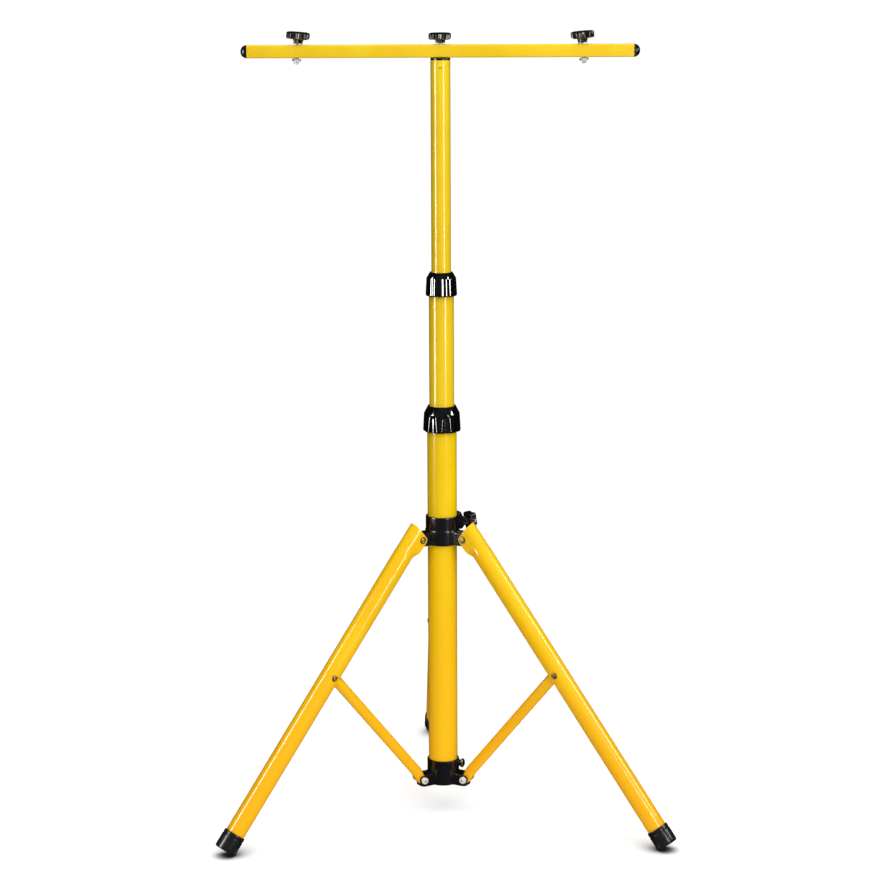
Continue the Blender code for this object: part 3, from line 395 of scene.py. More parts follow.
def evaluated_shape(thing):
    """The object's mesh with its modifiers applied; the object itself is removed."""
    bpy.context.view_layer.update()
    graph = bpy.context.evaluated_depsgraph_get()
    mesh = bpy.data.meshes.new_from_object(thing.evaluated_get(graph))
    shape = bmesh.new()
    shape.from_mesh(mesh)
    bpy.data.meshes.remove(mesh)
    bpy.data.objects.remove(thing)
    return shape


def add_piece(node, shape, material, place=None, sharp=38, name=None):
    """Turns a finished shape into the piece that stands for this node and rides on its body."""
    if place:
        shape.transform(place)
    name = name or f"{node}_look"
    mesh = as_mesh(shape, name)
    mesh.materials.clear()
    mesh.materials.append(material)
    for polygon in mesh.polygons:
        polygon.material_index = 0
    mesh.shade_smooth()
    mesh.set_sharp_from_angle(angle=math.radians(sharp))
    piece = scene_object(name, mesh)
    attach(piece, NODE_BODY[node])
    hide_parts(node)


# Profiles and shapes

def round_corners(points, closed, segments=3):
    """An outline of (x, y, corner radius) points with its corners rounded, as (x, y) points."""
    outline = []
    count = len(points)
    for index, (x, y, radius) in enumerate(points):
        corner = Vector((x, y))
        if radius == 0 or not closed and index in (0, count - 1):
            outline.append((x, y))
            continue
        before = Vector(points[index - 1][:2]) - corner
        after = Vector(points[(index + 1) % count][:2]) - corner
        half = before.angle(after) / 2
        reach = min(radius / math.tan(half), before.length * 0.49, after.length * 0.49)
        start = corner + before.normalized() * reach
        end = corner + after.normalized() * reach
        bisector = (before.normalized() + after.normalized()).normalized()
        centre = corner + bisector * (reach / math.cos(half))
        first = math.atan2(*(start - centre).yx)
        sweep = math.atan2(*(end - centre).yx) - first
        sweep = (sweep + math.pi) % (2 * math.pi) - math.pi
        size = (start - centre).length
        for step in range(segments + 1):
            angle = first + sweep * step / segments
            outline.append((centre.x + size * math.cos(angle), centre.y + size * math.sin(angle)))
    return outline


def bridge(shape, ring, following):
    """Faces between two rings, either of which may be a single point on the axis."""
    count = max(len(ring), len(following))
    for index in range(count):
        after = (index + 1) % count
        corners = [ring[index % len(ring)], ring[after % len(ring)],
                   following[after % len(following)], following[index % len(following)]]
        corners = [corner for place, corner in enumerate(corners) if corner not in corners[:place]]
        shape.faces.new(corners)


def lathe(profile, steps=96, closed=False, segments=3):
    """A turned shape; its half section of (radius, height, corner radius) is closed or ends on the axis."""
    shape = bmesh.new()
    rings = []
    for radius, height in round_corners(profile, closed, segments):
        count = steps if radius > 1e-6 else 1
        ring = []
        for index in range(count):
            angle = 2 * math.pi * index / steps
            ring.append(shape.verts.new((radius * math.cos(angle), radius * math.sin(angle), height)))
        rings.append(ring)
    following = rings[1:] + rings[:1] if closed else rings[1:]
    for ring, after in zip(rings, following):
        bridge(shape, ring, after)
    bmesh.ops.recalc_face_normals(shape, faces=shape.faces)
    return shape


def prism(outline, bottom, top, matrix=None, edge=0.0):
    """An outline in X and Y raised between two heights, with its rims rounded."""
    shape = bmesh.new()
    face = shape.faces.new([shape.verts.new((x, y, bottom)) for x, y in outline])
    raised = bmesh.ops.extrude_face_region(shape, geom=[face])["geom"]
    corners = [item for item in raised if isinstance(item, bmesh.types.BMVert)]
    bmesh.ops.translate(shape, vec=(0, 0, top - bottom), verts=corners)
    bmesh.ops.recalc_face_normals(shape, faces=shape.faces)
    if edge:
        rims = [e for e in shape.edges if abs(e.verts[0].co.z - e.verts[1].co.z) < 1e-9]
        bmesh.ops.bevel(shape, geom=rims, offset=edge, segments=3, profile=0.5, affect="EDGES")
    if matrix:
        shape.transform(matrix)
    return shape


def box(low_corner, high_corner, matrix=None):
    x0, y0, z0 = low_corner
    x1, y1, z1 = high_corner
    return prism([(x0, y0), (x1, y0), (x1, y1), (x0, y1)], z0, z1, matrix)


def arc(centre, radius, start, end, count):
    angles = [math.radians(start + (end - start) * index / count) for index in range(count + 1)]
    return [(centre[0] + radius * math.cos(a), centre[1] + radius * math.sin(a)) for a in angles]


def rod(radius, bottom, top, matrix=None, sides=64):
    return prism(arc((0, 0), radius, 0, 360 * (sides - 1) / sides, sides - 1), bottom, top, matrix)


def hexagon(across_flats, bottom, top):
    return prism(arc((0, 0), across_flats / math.sqrt(3), 0, 300, 5), bottom, top)


def rounded_square(size, radius, segments=6):
    half = size / 2
    corners = [(half, half, radius), (-half, half, radius), (-half, -half, radius), (half, -half, radius)]
    return round_corners(corners, closed=True, segments=segments)


def soft_ring(shape, count, half_x, half_y, height, power, shift=0.0):
    """A ring that is an ellipse at power 2 and comes nearer to a rectangle as the power grows."""
    ring = []
    for index in range(count):
        angle = 2 * math.pi * (index + 0.5) / count
        across, along = math.cos(angle), math.sin(angle)
        size = (abs(across)**power + abs(along)**power)**(-1 / power)
        ring.append(shape.verts.new((half_x * size * across - shift, half_y * size * along, height)))
    return ring


def carve(shape, joined=(), kept=(), cut=()):
    """The shape with others joined on, then only what lies in the kept ones, less what is cut out."""
    thing = scene_object("carved", as_mesh(shape, "carved"))
    tools = []
    for operation, shapes in (("UNION", joined), ("INTERSECT", kept), ("DIFFERENCE", cut)):
        for tool_shape in shapes:
            tool = scene_object("tool", as_mesh(tool_shape, "tool"))
            modifier = thing.modifiers.new(operation, "BOOLEAN")
            modifier.operation = operation
            modifier.object = tool
            tools.append(tool)
    result = evaluated_shape(thing)
    for tool in tools:
        bpy.data.objects.remove(tool)
    return result


def mould(shape, rounds):
    """Rounds every edge a little, as a moulding has them, by rebuilding the surface in small cells."""
    thing = scene_object("moulding", as_mesh(shape, "moulding"))
    cells = thing.modifiers.new("cells", "REMESH")
    cells.mode = "VOXEL"
    cells.voxel_size = MOULD_CELL
    softened = thing.modifiers.new("softened", "SMOOTH")
    softened.factor = 0.5
    softened.iterations = rounds
    lighter = thing.modifiers.new("lighter", "DECIMATE")
    lighter.ratio = 0.45
    return evaluated_shape(thing)


# Geometry node trees

def new_tree(name, sizes):
    """A tree that takes a shape, sizes and a material: its graph, its inputs and their identifiers."""
    tree = bpy.data.node_groups.new(name, "GeometryNodeTree")
    tree.interface.new_socket("Geometry", in_out="OUTPUT", socket_type="NodeSocketGeometry")
    kinds = {"Geometry": "NodeSocketGeometry", **{size: "NodeSocketFloat" for size in sizes}}
    kinds["Material"] = "NodeSocketMaterial"
    identifiers = {}
    for label, kind in kinds.items():
        identifiers[label] = tree.interface.new_socket(label, in_out="INPUT", socket_type=kind).identifier
    graph = Graph(tree)
    start = graph.add("NodeGroupInput")
    return graph, {label: Wire(graph, start.outputs[label]) for label in kinds}, identifiers


def end_tree(graph, geometry, material):
    real = graph.wire("GeometryNodeRealizeInstances", sockets={"Geometry": geometry})
    coloured = graph.wire("GeometryNodeSetMaterial", sockets={"Geometry": real, "Material": material})
    graph.add("NodeGroupOutput", sockets={"Geometry": coloured})


def lobe_tree():
    """Draws a turned shape in between its lobes, in a stretch of its height and beyond an inner radius."""
    graph, given, identifiers = new_tree("lobes", (
        "Count", "Depth", "Phase", "Inner Radius", "Outer Radius", "Bottom", "Top", "Fade", "Roundness"))
    x, y, z = graph.split(graph.wire("GeometryNodeInputPosition"))
    radius = graph.maths("SQRT", x * x + y * y)
    angle = graph.maths("ARCTAN2", y, x)
    wave = (1 - graph.maths("COSINE", given["Count"] * angle + given["Phase"])) / 2
    hollow = wave ** given["Roundness"]
    outward = graph.smooth_step(radius, given["Inner Radius"], given["Outer Radius"])
    above = graph.smooth_step(z, given["Bottom"], given["Bottom"] + given["Fade"])
    below = 1 - graph.smooth_step(z, given["Top"] - given["Fade"], given["Top"])
    safe = graph.maths("MAXIMUM", radius, 0.00001)
    factor = 1 - given["Depth"] * hollow * outward * above * below / safe
    moved = graph.wire("GeometryNodeSetPosition", sockets={
        "Geometry": given["Geometry"], "Position": graph.join(x * factor, y * factor, z)})
    end_tree(graph, moved, given["Material"])
    return graph.tree, identifiers


def thread_tree():
    """Winds a screw thread round a core that stands along Z."""
    graph, given, identifiers = new_tree("thread", ("Radius", "Pitch", "Depth", "Bottom", "Length"))
    root = given["Radius"] - given["Depth"]
    helix = graph.wire("GeometryNodeCurveSpiral", sockets={
        "Resolution": 24, "Rotations": given["Length"] / given["Pitch"], "Start Radius": root,
        "End Radius": root, "Height": given["Length"]})
    lifted = graph.wire("GeometryNodeTransform", sockets={
        "Geometry": helix, "Translation": graph.join(0.0, 0.0, given["Bottom"])})
    upright = graph.wire("GeometryNodeSetCurveNormal", {"mode": "Z_UP"}, {"Curve": lifted})
    ridge = graph.wire("GeometryNodeCurvePrimitiveCircle", sockets={
        "Resolution": 4, "Radius": given["Depth"]})
    wound = graph.wire("GeometryNodeCurveToMesh", sockets={
        "Curve": upright, "Profile Curve": ridge, "Fill Caps": True})
    together = graph.add("GeometryNodeJoinGeometry")
    graph.plug(together.inputs[0], wound)
    graph.plug(together.inputs[0], given["Geometry"])
    end_tree(graph, Wire(graph, together.outputs[0]), given["Material"])
    return graph.tree, identifiers


LOBES = lobe_tree()
THREAD = thread_tree()


def grow(shape, tree_and_identifiers, values):
    """Runs a geometry node tree on the shape, with its inputs set by identifier."""
    tree, identifiers = tree_and_identifiers
    thing = scene_object("grown", as_mesh(shape, "grown"))
    modifier = thing.modifiers.new(tree.name, "NODES")
    modifier.node_group = tree
    for name, value in values.items():
        modifier[identifiers[name]] = value
    return evaluated_shape(thing)


# Mast

def tube_shape(radius, bottom, top):
    """A tube with rounded rims, and rings near its ends that keep its highlights straight."""
    edge, margin = 0.0004, 0.0020
    bore = radius - TUBE_WALL
    outside = [(radius, top, edge), (radius, top - margin, 0), (radius, bottom + margin, 0),
               (radius, bottom, edge)]
    inside = [(bore, bottom, edge), (bore, bottom + margin, 0), (bore, top - margin, 0), (bore, top, edge)]
    return lathe(outside + inside, closed=True)


def build_mast():
    at_mast = Matrix.Translation(MAST)
    for node, radius, bottom, top, coat in (
            ("mast_lower_tube", LOWER_TUBE_R, LOWER_TUBE_BOTTOM, LOWER_TUBE_TOP, MAST_PAINT),
            ("mast_middle_tube", MIDDLE_TUBE_R, MIDDLE_TUBE_BOTTOM, MIDDLE_TUBE_TOP, LEMON_PAINT),
            ("mast_upper_tube", UPPER_TUBE_R, UPPER_TUBE_BOTTOM, UPPER_TUBE_TOP, LEMON_PAINT)):
        add_piece(node, tube_shape(radius, bottom, top), coat, at_mast)
    build_lower_lock(at_mast)
    build_upper_lock(at_mast)
    build_top_plug(at_mast)


def lock_profile(bottom, top, skirt_r, shoulder_r, shoulder_drop, outer_tube_r, inner_tube_r, seat):
    """A twist lock's section: a lip round the inner tube, a shoulder, and a skirt over the outer tube."""
    lip_wall, clearance = 0.0019, 0.0004
    cone_start, cone_end = 0.0010, 0.0132
    rows = 24
    lip_r = inner_tube_r + lip_wall
    sleeve_r = outer_tube_r + clearance
    neck_r = inner_tube_r + clearance
    cone_bottom = seat + cone_start
    cone_top = seat + cone_end
    skirt = bottom + 0.0015
    shoulder = top - shoulder_drop
    points = [(lip_r, top, 0.0005), (shoulder_r, shoulder, 0.0012)]
    for index in range(1, rows):
        part = index / rows
        points.append((shoulder_r + (skirt_r - shoulder_r) * part, shoulder + (skirt - shoulder) * part, 0))
    points += [(skirt_r, skirt, 0.0005), (skirt_r - 0.0006, bottom, 0.0004), (sleeve_r, bottom, 0.0003),
               (sleeve_r, cone_bottom, 0), (lip_r, cone_top, 0), (neck_r, cone_top + 0.0004, 0),
               (neck_r, top, 0.0003)]
    return points


def build_lower_lock(at_mast):
    """The larger twist lock: arched hollows are pressed into its skirt."""
    low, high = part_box("lower_lock_collar")
    shoulder_r, shoulder_drop = 0.0230, 0.0097
    profile = lock_profile(low.z, high.z, (high.x - low.x) / 2, shoulder_r, shoulder_drop, LOWER_TUBE_R,
                           MIDDLE_TUBE_R, LOWER_TUBE_TOP)
    shape = lathe(profile, 384, closed=True)
    arches, phase, skirt_face_r = 8, 0.31, 0.02425
    arch_r, depth, rise, edge = 0.0134, 0.0022, 0.0050, 0.0004
    centre = skirt_face_r - depth + arch_r
    inner_r = shoulder_r - 0.0035
    crown = high.z - shoulder_drop + 0.0006
    spring = crown - rise
    half_pitch = math.pi / arches
    for vertex in shape.verts:
        radius = vertex.co.to_2d().length
        if radius < inner_r:
            continue
        angle = math.atan2(vertex.co.y, vertex.co.x) - 2 * math.pi * phase / arches
        angle = (angle + half_pitch) % (2 * half_pitch) - half_pitch
        up = max(0.0, min(1.0, (vertex.co.z - spring) / rise))
        size = arch_r - depth * (1 - math.sqrt(1 - up * up))
        side = centre * math.sin(angle)
        if abs(side) >= size:
            continue
        floor = centre * math.cos(angle) - math.sqrt(size * size - side * side)
        drop = radius - floor
        if drop > -edge:
            soft = drop if drop > edge else (drop + edge)**2 / (4 * edge)
            scale = (radius - soft) / radius
            vertex.co.x *= scale
            vertex.co.y *= scale
    add_piece("lower_lock_collar", shape, GLOSSY, at_mast, name="lower_lock_look")


def build_upper_lock(at_mast):
    """The smaller twist lock, with narrow flutes round its skirt."""
    low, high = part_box("upper_lock_collar")
    shoulder_r, shoulder_drop, flutes_top = 0.0189, 0.0074, 0.0058
    profile = lock_profile(low.z, high.z, (high.x - low.x) / 2, shoulder_r, shoulder_drop, MIDDLE_TUBE_R,
                           UPPER_TUBE_R, MIDDLE_TUBE_TOP)
    shape = grow(lathe(profile, 320, closed=True), LOBES, {
        "Count": 16.0, "Depth": 0.0006, "Phase": math.pi - 2 * math.pi * 0.4, "Inner Radius": 0.0178,
        "Outer Radius": 0.0190, "Bottom": low.z - 0.01, "Top": high.z - flutes_top, "Fade": 0.0020,
        "Roundness": 1.6, "Material": GLOSSY})
    add_piece("upper_lock_collar", shape, GLOSSY, at_mast, name="upper_lock_look")


def build_top_plug(at_mast):
    """The plug with its rim under the bar, and the small rivet through the mast's top."""
    low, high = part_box("mast_top_plug")
    body_r = UPPER_TUBE_R - TUBE_WALL - GAP
    rim = UPPER_TUBE_TOP + GAP
    hole_r, insert_r = 0.0034, 0.0053
    ledge = low.z + 0.0040
    profile = [(UPPER_TUBE_R, high.z, 0.0007), (UPPER_TUBE_R, rim, 0.0003), (body_r, rim, 0),
               (body_r, low.z, 0.0005), (hole_r, low.z, 0.0005), (hole_r, ledge, 0), (insert_r, ledge, 0),
               (insert_r, high.z, 0.0004)]
    add_piece("mast_top_plug", lathe(profile, 96, closed=True), BLACK, at_mast)
    low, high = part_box("plug_rivet")
    outside = UPPER_TUBE_R + GAP
    head_r, shank_r, shank = 0.0023, 0.0013, 0.004
    profile = [(0, outside + 0.0009, 0), (0.0012, outside + 0.00085, 0.0003),
               (head_r, outside + 0.0002, 0.0003), (head_r, outside - 0.0001, 0),
               (shank_r, outside - 0.0001, 0), (shank_r, outside - shank, 0), (0, outside - shank, 0)]
    place = Matrix.Translation((MAST.x, MAST.y, (low.z + high.z) / 2)) @ UPRIGHT
    add_piece("plug_rivet", lathe(profile, 32), LEMON_PAINT, place)


# Crossbar

def build_crossbar():
    """The square tube with its holes, and on it the caps, the knobs and the nuts below the bar."""
    corner_r, inner_corner_r, edge = 0.0016, 0.0008, 0.0003
    past, through = 0.01, 0.02
    at_bar = Matrix.Translation(BAR_CENTRE)
    outer = prism(rounded_square(BAR_SIZE, corner_r), -BAR_HALF, BAR_HALF, ALONG_X, edge)
    hollow = rounded_square(BAR_SIZE - 2 * BAR_WALL, inner_corner_r)
    cuts = [prism(hollow, -BAR_HALF - past, BAR_HALF + past, ALONG_X)]
    for name, hole_r in (("left", 0.0046), ("centre", 0.0034), ("right", 0.0046)):
        x = JOINTS[f"knob_{name}_turn"]["pos_m"][0] - BAR_CENTRE.x
        cuts.append(rod(hole_r, -through, through, Matrix.Translation((x, 0, 0)), 48))
    add_piece("crossbar", carve(outer, cut=cuts), LEMON_PAINT, at_bar)
    for name, side in (("left", -1), ("right", 1)):
        build_bar_cap(name, at_bar @ Matrix.Rotation(side * math.pi / 2, 4, "Y"))
        knob = joint_place(f"knob_{name}_turn")
        build_star_knob(name, knob, radius=0.0152, head_bottom=0.0149, head_top=0.0243, stud_bottom=-0.0159)
        nut = nut_shape(across_flats=0.010, bore=STUD_R, bottom=-0.0124, top=-0.0089)
        add_piece(f"nut_{name}", nut, ZINC, knob)
    build_star_knob("centre", joint_place("knob_centre_turn"), radius=0.0147, head_bottom=0.0139,
                    head_top=0.0228, stud_bottom=-0.0315)


def build_bar_cap(name, place):
    """A square flange that swells into a dome, on a plug in the bar's end."""
    start = BAR_HALF + GAP
    reach = 0.0080 - GAP
    plug, plug_half = 0.012, 0.0062
    flange, flange_half, dome_half = 0.0018, 0.0080, 0.0076
    sections = [(-plug, plug_half, 0.2), (0, plug_half, 0.2), (0, 0.00785, 0.0), (0.00004, 0.00796, 0.0),
                (0.00015, flange_half, 0.0), (0.00165, flange_half, 0.0), (0.00176, 0.00796, 0.0),
                (flange, 0.00785, 0.0), (flange, dome_half, 1.0)]
    for angle in range(10, 90, 10):
        turn = math.radians(angle)
        sections.append((flange + (reach - flange) * math.sin(turn), dome_half * math.cos(turn), 1.0))
    shape = bmesh.new()
    rings = [soft_ring(shape, 64, half, half, start + along, 12 - 10 * roundness)
             for along, half, roundness in sections]
    rings.append([shape.verts.new((0, 0, start + reach))])
    for ring, after in zip(rings, rings[1:]):
        bridge(shape, ring, after)
    shape.faces.new(rings[0])
    bmesh.ops.recalc_face_normals(shape, faces=shape.faces)
    add_piece(f"crossbar_cap_{name}", shape, BLACK, place)


def knob_shape(radius, lobes, neck_bottom, head_bottom, head_top):
    """A star knob: a domed head with rounded lobes, hollow beneath, on a ribbed neck."""
    middle = (head_bottom + head_top) / 2
    dimple, socket = 0.0009, 0.004
    collar_r, waist_r, neck_r, bore_r = 0.0070, 0.0062, 0.0058, STUD_R + 0.0001
    head = [(0, head_top - dimple, 0), (radius * 0.26, head_top - dimple, 0.0004),
            (radius * 0.34, head_top, 0.0005), (radius * 0.66, head_top - 0.0001, 0.004),
            (radius * 0.90, head_top - 0.0006, 0.0012), (radius, head_top - 0.0020, 0.0012),
            (radius, middle, 0), (radius, head_bottom + 0.0008, 0.0008),
            (radius * 0.90, head_bottom, 0.0006), (radius * 0.80, head_bottom, 0.0005),
            (radius * 0.76, head_bottom + 0.0022, 0.0006), (radius * 0.52, head_bottom + 0.0024, 0.0005)]
    neck = [(collar_r, head_bottom + 0.0006, 0.0010), (waist_r, (head_bottom + neck_bottom) / 2, 0.002),
            (neck_r, neck_bottom, 0.0004), (bore_r, neck_bottom, 0.0002), (bore_r, neck_bottom + socket, 0),
            (0, neck_bottom + socket, 0)]
    shape = grow(lathe(head + neck, 168, segments=4), LOBES, {
        "Count": float(lobes), "Depth": radius * 0.21, "Phase": 0.0, "Inner Radius": radius * 0.5,
        "Outer Radius": radius * 0.98, "Bottom": head_bottom - 0.001, "Top": head_top + 0.01,
        "Fade": 0.0005, "Roundness": 0.85, "Material": BLACK})
    return grow(shape, LOBES, {
        "Count": 8.0, "Depth": 0.0017, "Phase": 0.0, "Inner Radius": 0.0045, "Outer Radius": neck_r,
        "Bottom": neck_bottom - 0.001, "Top": head_bottom + 0.0016, "Fade": 0.0008, "Roundness": 0.8,
        "Material": BLACK})


def stud_shape(bottom, top):
    """A threaded stud along Z, with chamfered ends."""
    core = STUD_R - 0.0004
    end = 0.0007
    profile = [(0, top, 0), (core - 0.0005, top, 0.0001), (core, top - 0.0006, 0.0001),
               (core, bottom + 0.0006, 0.0001), (core - 0.0007, bottom, 0.0001), (0, bottom, 0)]
    return grow(lathe(profile, 48), THREAD, {
        "Radius": STUD_R - 0.0001, "Pitch": STUD_PITCH, "Depth": 0.00045, "Bottom": bottom + end,
        "Length": top - bottom - 2 * end, "Material": ZINC})


def washer_shape(bottom, top, outer, bore):
    edge = 0.0002
    profile = [(outer, top, edge), (outer, bottom, edge), (bore, bottom, edge), (bore, top, edge)]
    return lathe(profile, 64, closed=True)


def nut_shape(across_flats, bore, bottom, top):
    """A hexagon nut with its corners turned off at both faces, and a countersunk hole."""
    corner_r = across_flats / math.sqrt(3)
    face_r, rim_r = across_flats / 2 * 0.95, corner_r + 0.0002
    slope = (corner_r - across_flats / 2) * 0.6
    sink_r, sink, past = bore + 0.0014, 0.0004, 0.001
    cone = lathe([(0, top, 0), (face_r, top, 0), (rim_r, top - slope, 0), (rim_r, bottom + slope, 0),
                  (face_r, bottom, 0), (0, bottom, 0)], 64)
    hole = lathe([(0, top + past, 0), (sink_r, top + past, 0), (bore, top - sink, 0),
                  (bore, bottom + sink, 0), (sink_r, bottom - past, 0), (0, bottom - past, 0)], 48)
    return carve(hexagon(across_flats, bottom, top), kept=[cone], cut=[hole])


def build_star_knob(name, place, radius, head_bottom, head_top, stud_bottom):
    """A knob of the bar with its stud and washer; heights run from the bar's middle."""
    washer_bottom, washer_top, washer_r = 0.0089, 0.0099, 0.0060
    neck_bottom, stud_top = 0.0102, 0.0140
    knob = knob_shape(radius, lobes=7, neck_bottom=neck_bottom, head_bottom=head_bottom, head_top=head_top)
    add_piece(f"knob_{name}", knob, BLACK, place)
    add_piece(f"stud_{name}", stud_shape(stud_bottom, stud_top), ZINC, place)
    washer = washer_shape(washer_bottom, washer_top, washer_r, STUD_R + GAP)
    add_piece(f"washer_{name}", washer, ZINC, place)


# Collar that slides on the mast

def build_leg_collar():
    """A sleeve with a lug for each leg and a boss for the knob that locks it."""
    top, bottom = 0.4008, 0.3633
    body_r, band_r, bore_r, root, past = 0.0215, 0.0222, 0.0194, 0.015, 0.01
    body = lathe([(0, top, 0), (body_r, top, 0.0012), (body_r, 0.3827, 0.0010), (band_r, 0.3818, 0.0010),
                  (band_r, bottom, 0.0010), (0, bottom, 0)], 128)
    eye_r, lug_half = 0.0067, 0.0092
    lug_top, lug_bottom = UPPER_PIVOT.z + eye_r, bottom + 0.0006
    lug = [(root, lug_top + 0.0012), (0.026, lug_top + 0.0012), (0.032, lug_top)]
    lug += arc((PIVOT_RADIUS, UPPER_PIVOT.z), eye_r, 90, -50, 24)
    lug += [(PIVOT_RADIUS + 0.001, lug_bottom), (root, lug_bottom)]
    joined = [prism(lug, -lug_half, lug_half, leg_turn(number) @ UPRIGHT) for number in LEGS]
    axis = Vector(JOINTS["collar_knob_turn"]["axis"])
    knob_turn = Matrix.Rotation(math.atan2(axis.y, axis.x), 4, "Z")
    knob_z = JOINTS["collar_knob_turn"]["pos_m"][2]
    knob_axis = knob_turn @ Matrix.Translation((0, 0, knob_z)) @ ALONG_X
    boss_half, hole_end = 0.0075, 0.032
    insert_r, insert_start, stud_hole_r, stud_hole_start = 0.0049, 0.0222, 0.0033, 0.017
    boss = [(root, 0.3800), (0.0262, 0.3800), (0.0290, 0.3830), (0.0290, 0.3940), (0.0262, 0.3985),
            (0.0240, 0.4030), (0.0222, 0.4030), (0.0205, 0.4000), (root, 0.4000)]
    joined.append(prism(boss, -boss_half, boss_half, knob_turn @ UPRIGHT))
    cuts = [rod(bore_r, bottom - past, top + past, sides=128),
            rod(insert_r, insert_start, hole_end, knob_axis, 48),
            rod(stud_hole_r, stud_hole_start, hole_end, knob_axis, 48)]
    shape = mould(carve(body, joined, cut=cuts), 6)
    add_piece("leg_collar", shape, BLACK, Matrix.Translation(MAST), sharp=60)
    place = Matrix.Translation(Vector((MAST.x, MAST.y, knob_z))) @ knob_turn @ ALONG_X
    knob = knob_shape(radius=0.0124, lobes=5, neck_bottom=0.0296, head_bottom=0.0370, head_top=0.0478)
    add_piece("collar_knob", knob, BLACK, place)
    stud = stud_shape(bottom=LOWER_TUBE_R + GAP, top=0.0400)
    add_piece("collar_stud", stud, ZINC, place)


# Hub at the mast's foot

def build_hub():
    """A cup under the mast, with a fork for each brace and a web below it, and the screw that holds it."""
    top, bottom, body_r, cup_hole_r, past = 0.0710, 0.0378, 0.0210, 0.0160, 0.01
    web_bottom, web_top, web_end, web_corner = 0.0385, 0.0412, 0.0380, 0.0060
    fork_top, fork_shoulder, fork_end = 0.0540, 0.0290, 0.0335
    eye_r, root, slot_start, slot_half = 0.0054, 0.012, 0.0256, 0.0073
    body = lathe([(0, top, 0), (body_r, top, 0.0010), (body_r, bottom, 0.0012), (0, bottom, 0)], 128)
    fork = [(root, fork_top), (fork_shoulder, fork_top)]
    fork += arc((PIVOT_RADIUS, LOWER_PIVOT.z), eye_r, 90, -50, 24)
    inside = (web_bottom + web_top) / 2
    fork += [(fork_end, inside), (root, inside)]
    web = [(root, FORK_HALF), (root, -FORK_HALF)]
    web += arc((web_end - web_corner, web_corner - FORK_HALF), web_corner, -90, 0, 12)
    web += arc((web_end - web_corner, FORK_HALF - web_corner), web_corner, 0, 90, 12)
    narrower = Matrix.Diagonal((1, 0.98, 1, 1))
    joined = []
    for number in LEGS:
        joined.append(prism(fork, -FORK_HALF, FORK_HALF, leg_turn(number) @ UPRIGHT))
        joined.append(prism(web, web_bottom, web_top, leg_turn(number) @ narrower))
    low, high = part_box("hub_screw")
    centre = (low + high) / 2 - MAST
    screw_turn = Matrix.Rotation(math.atan2(centre.y, centre.x), 4, "Z")
    screw_axis = screw_turn @ Matrix.Translation((0, 0, centre.z)) @ ALONG_X
    boss_r, boss_start, seat, head_r = 0.0044, 0.0150, 0.0262, 0.0060
    joined.append(rod(boss_r, boss_start, seat - GAP, screw_axis, 48))
    tube_r, ledge = LOWER_TUBE_R + GAP, LOWER_TUBE_BOTTOM - GAP
    above, below = top + past, bottom - past
    cuts = [lathe([(0, above, 0), (tube_r, above, 0), (tube_r, ledge, 0), (cup_hole_r, ledge, 0),
                   (cup_hole_r, below, 0), (0, below, 0)], 128)]
    for number in LEGS:
        cuts.append(box((slot_start, -slot_half, web_top), (0.06, slot_half, 0.08), leg_turn(number)))
    shape = mould(carve(body, joined, cut=cuts), 5)
    add_piece("lower_hub", shape, BLACK, Matrix.Translation(MAST), sharp=60)
    profile = [(0, seat + 0.0040, 0), (0.0026, seat + 0.0037, 0.004), (0.0046, seat + 0.0029, 0.003),
               (head_r, seat + 0.0015, 0.0010), (head_r, seat, 0.0003), (BOLT_R, seat, 0),
               (BOLT_R, tube_r + 0.0001, 0), (0, tube_r + 0.0001, 0)]
    place = Matrix.Translation(MAST) @ screw_axis
    add_piece("hub_screw", lathe(profile, 64), GLOSSY, place)


def build_hub_bolt(number):
    """A hexagon bolt and its nut across a fork; the nuts of both front legs face forwards."""
    flats, head_height, nut_height = 0.0080, 0.0035, 0.0040
    painted_shade_r, painted_shade_depth = 0.00125, 0.0032
    face = FORK_HALF + GAP
    facing = lower_place(number) @ ALONG_Y
    if number == 3:
        facing = facing @ Matrix.Rotation(math.pi, 4, "X")
    rim_r = flats / math.sqrt(3) + 0.0002
    cone = lathe([(0, -face, 0), (rim_r, -face, 0), (rim_r, -face - 0.0029, 0),
                  (flats / 2 * 0.93, -face - head_height, 0), (0, -face - head_height, 0)], 64)
    head = carve(hexagon(flats, -face - head_height, -face), kept=[cone])
    end = face + 0.0055
    core = BOLT_R - 0.0003
    shank = lathe([(0, end - 0.0030, 0), (0.0011, end - 0.0028, 0.0002), (0.0013, end, 0.0002),
                   (core - 0.0005, end, 0.0001), (core, end - 0.0006, 0.0001), (core, -face - 0.001, 0),
                   (0, -face - 0.001, 0)], 48)
    shank = grow(shank, THREAD, {"Radius": BOLT_R - 0.0001, "Pitch": BOLT_PITCH, "Depth": 0.00036,
                                 "Bottom": 0.004, "Length": end - 0.0046, "Material": ZINC})
    both = as_mesh(shank, "shank")
    head.from_mesh(both)
    bpy.data.meshes.remove(both)
    # Painted shade: the hollow in the bolt's end is marked so that its zinc turns near black.
    painted_shade_layer = head.verts.layers.float.new("painted_shade_recess")
    for vertex in head.verts:
        hollow = vertex.co.z > end - painted_shade_depth and vertex.co.to_2d().length < painted_shade_r
        vertex[painted_shade_layer] = 1.0 if hollow else 0.0
    add_piece(f"hub_bolt_{number}", head, ZINC, facing)
    nut = nut_shape(flats, BOLT_R, face, face + nut_height)
    add_piece(f"hub_nut_{number}", nut, ZINC, facing)


# Legs, braces and feet

def smooth_step(value, start, end):
    part = max(0.0, min(1.0, (value - start) / (end - start)))
    return part * part * (3 - 2 * part)


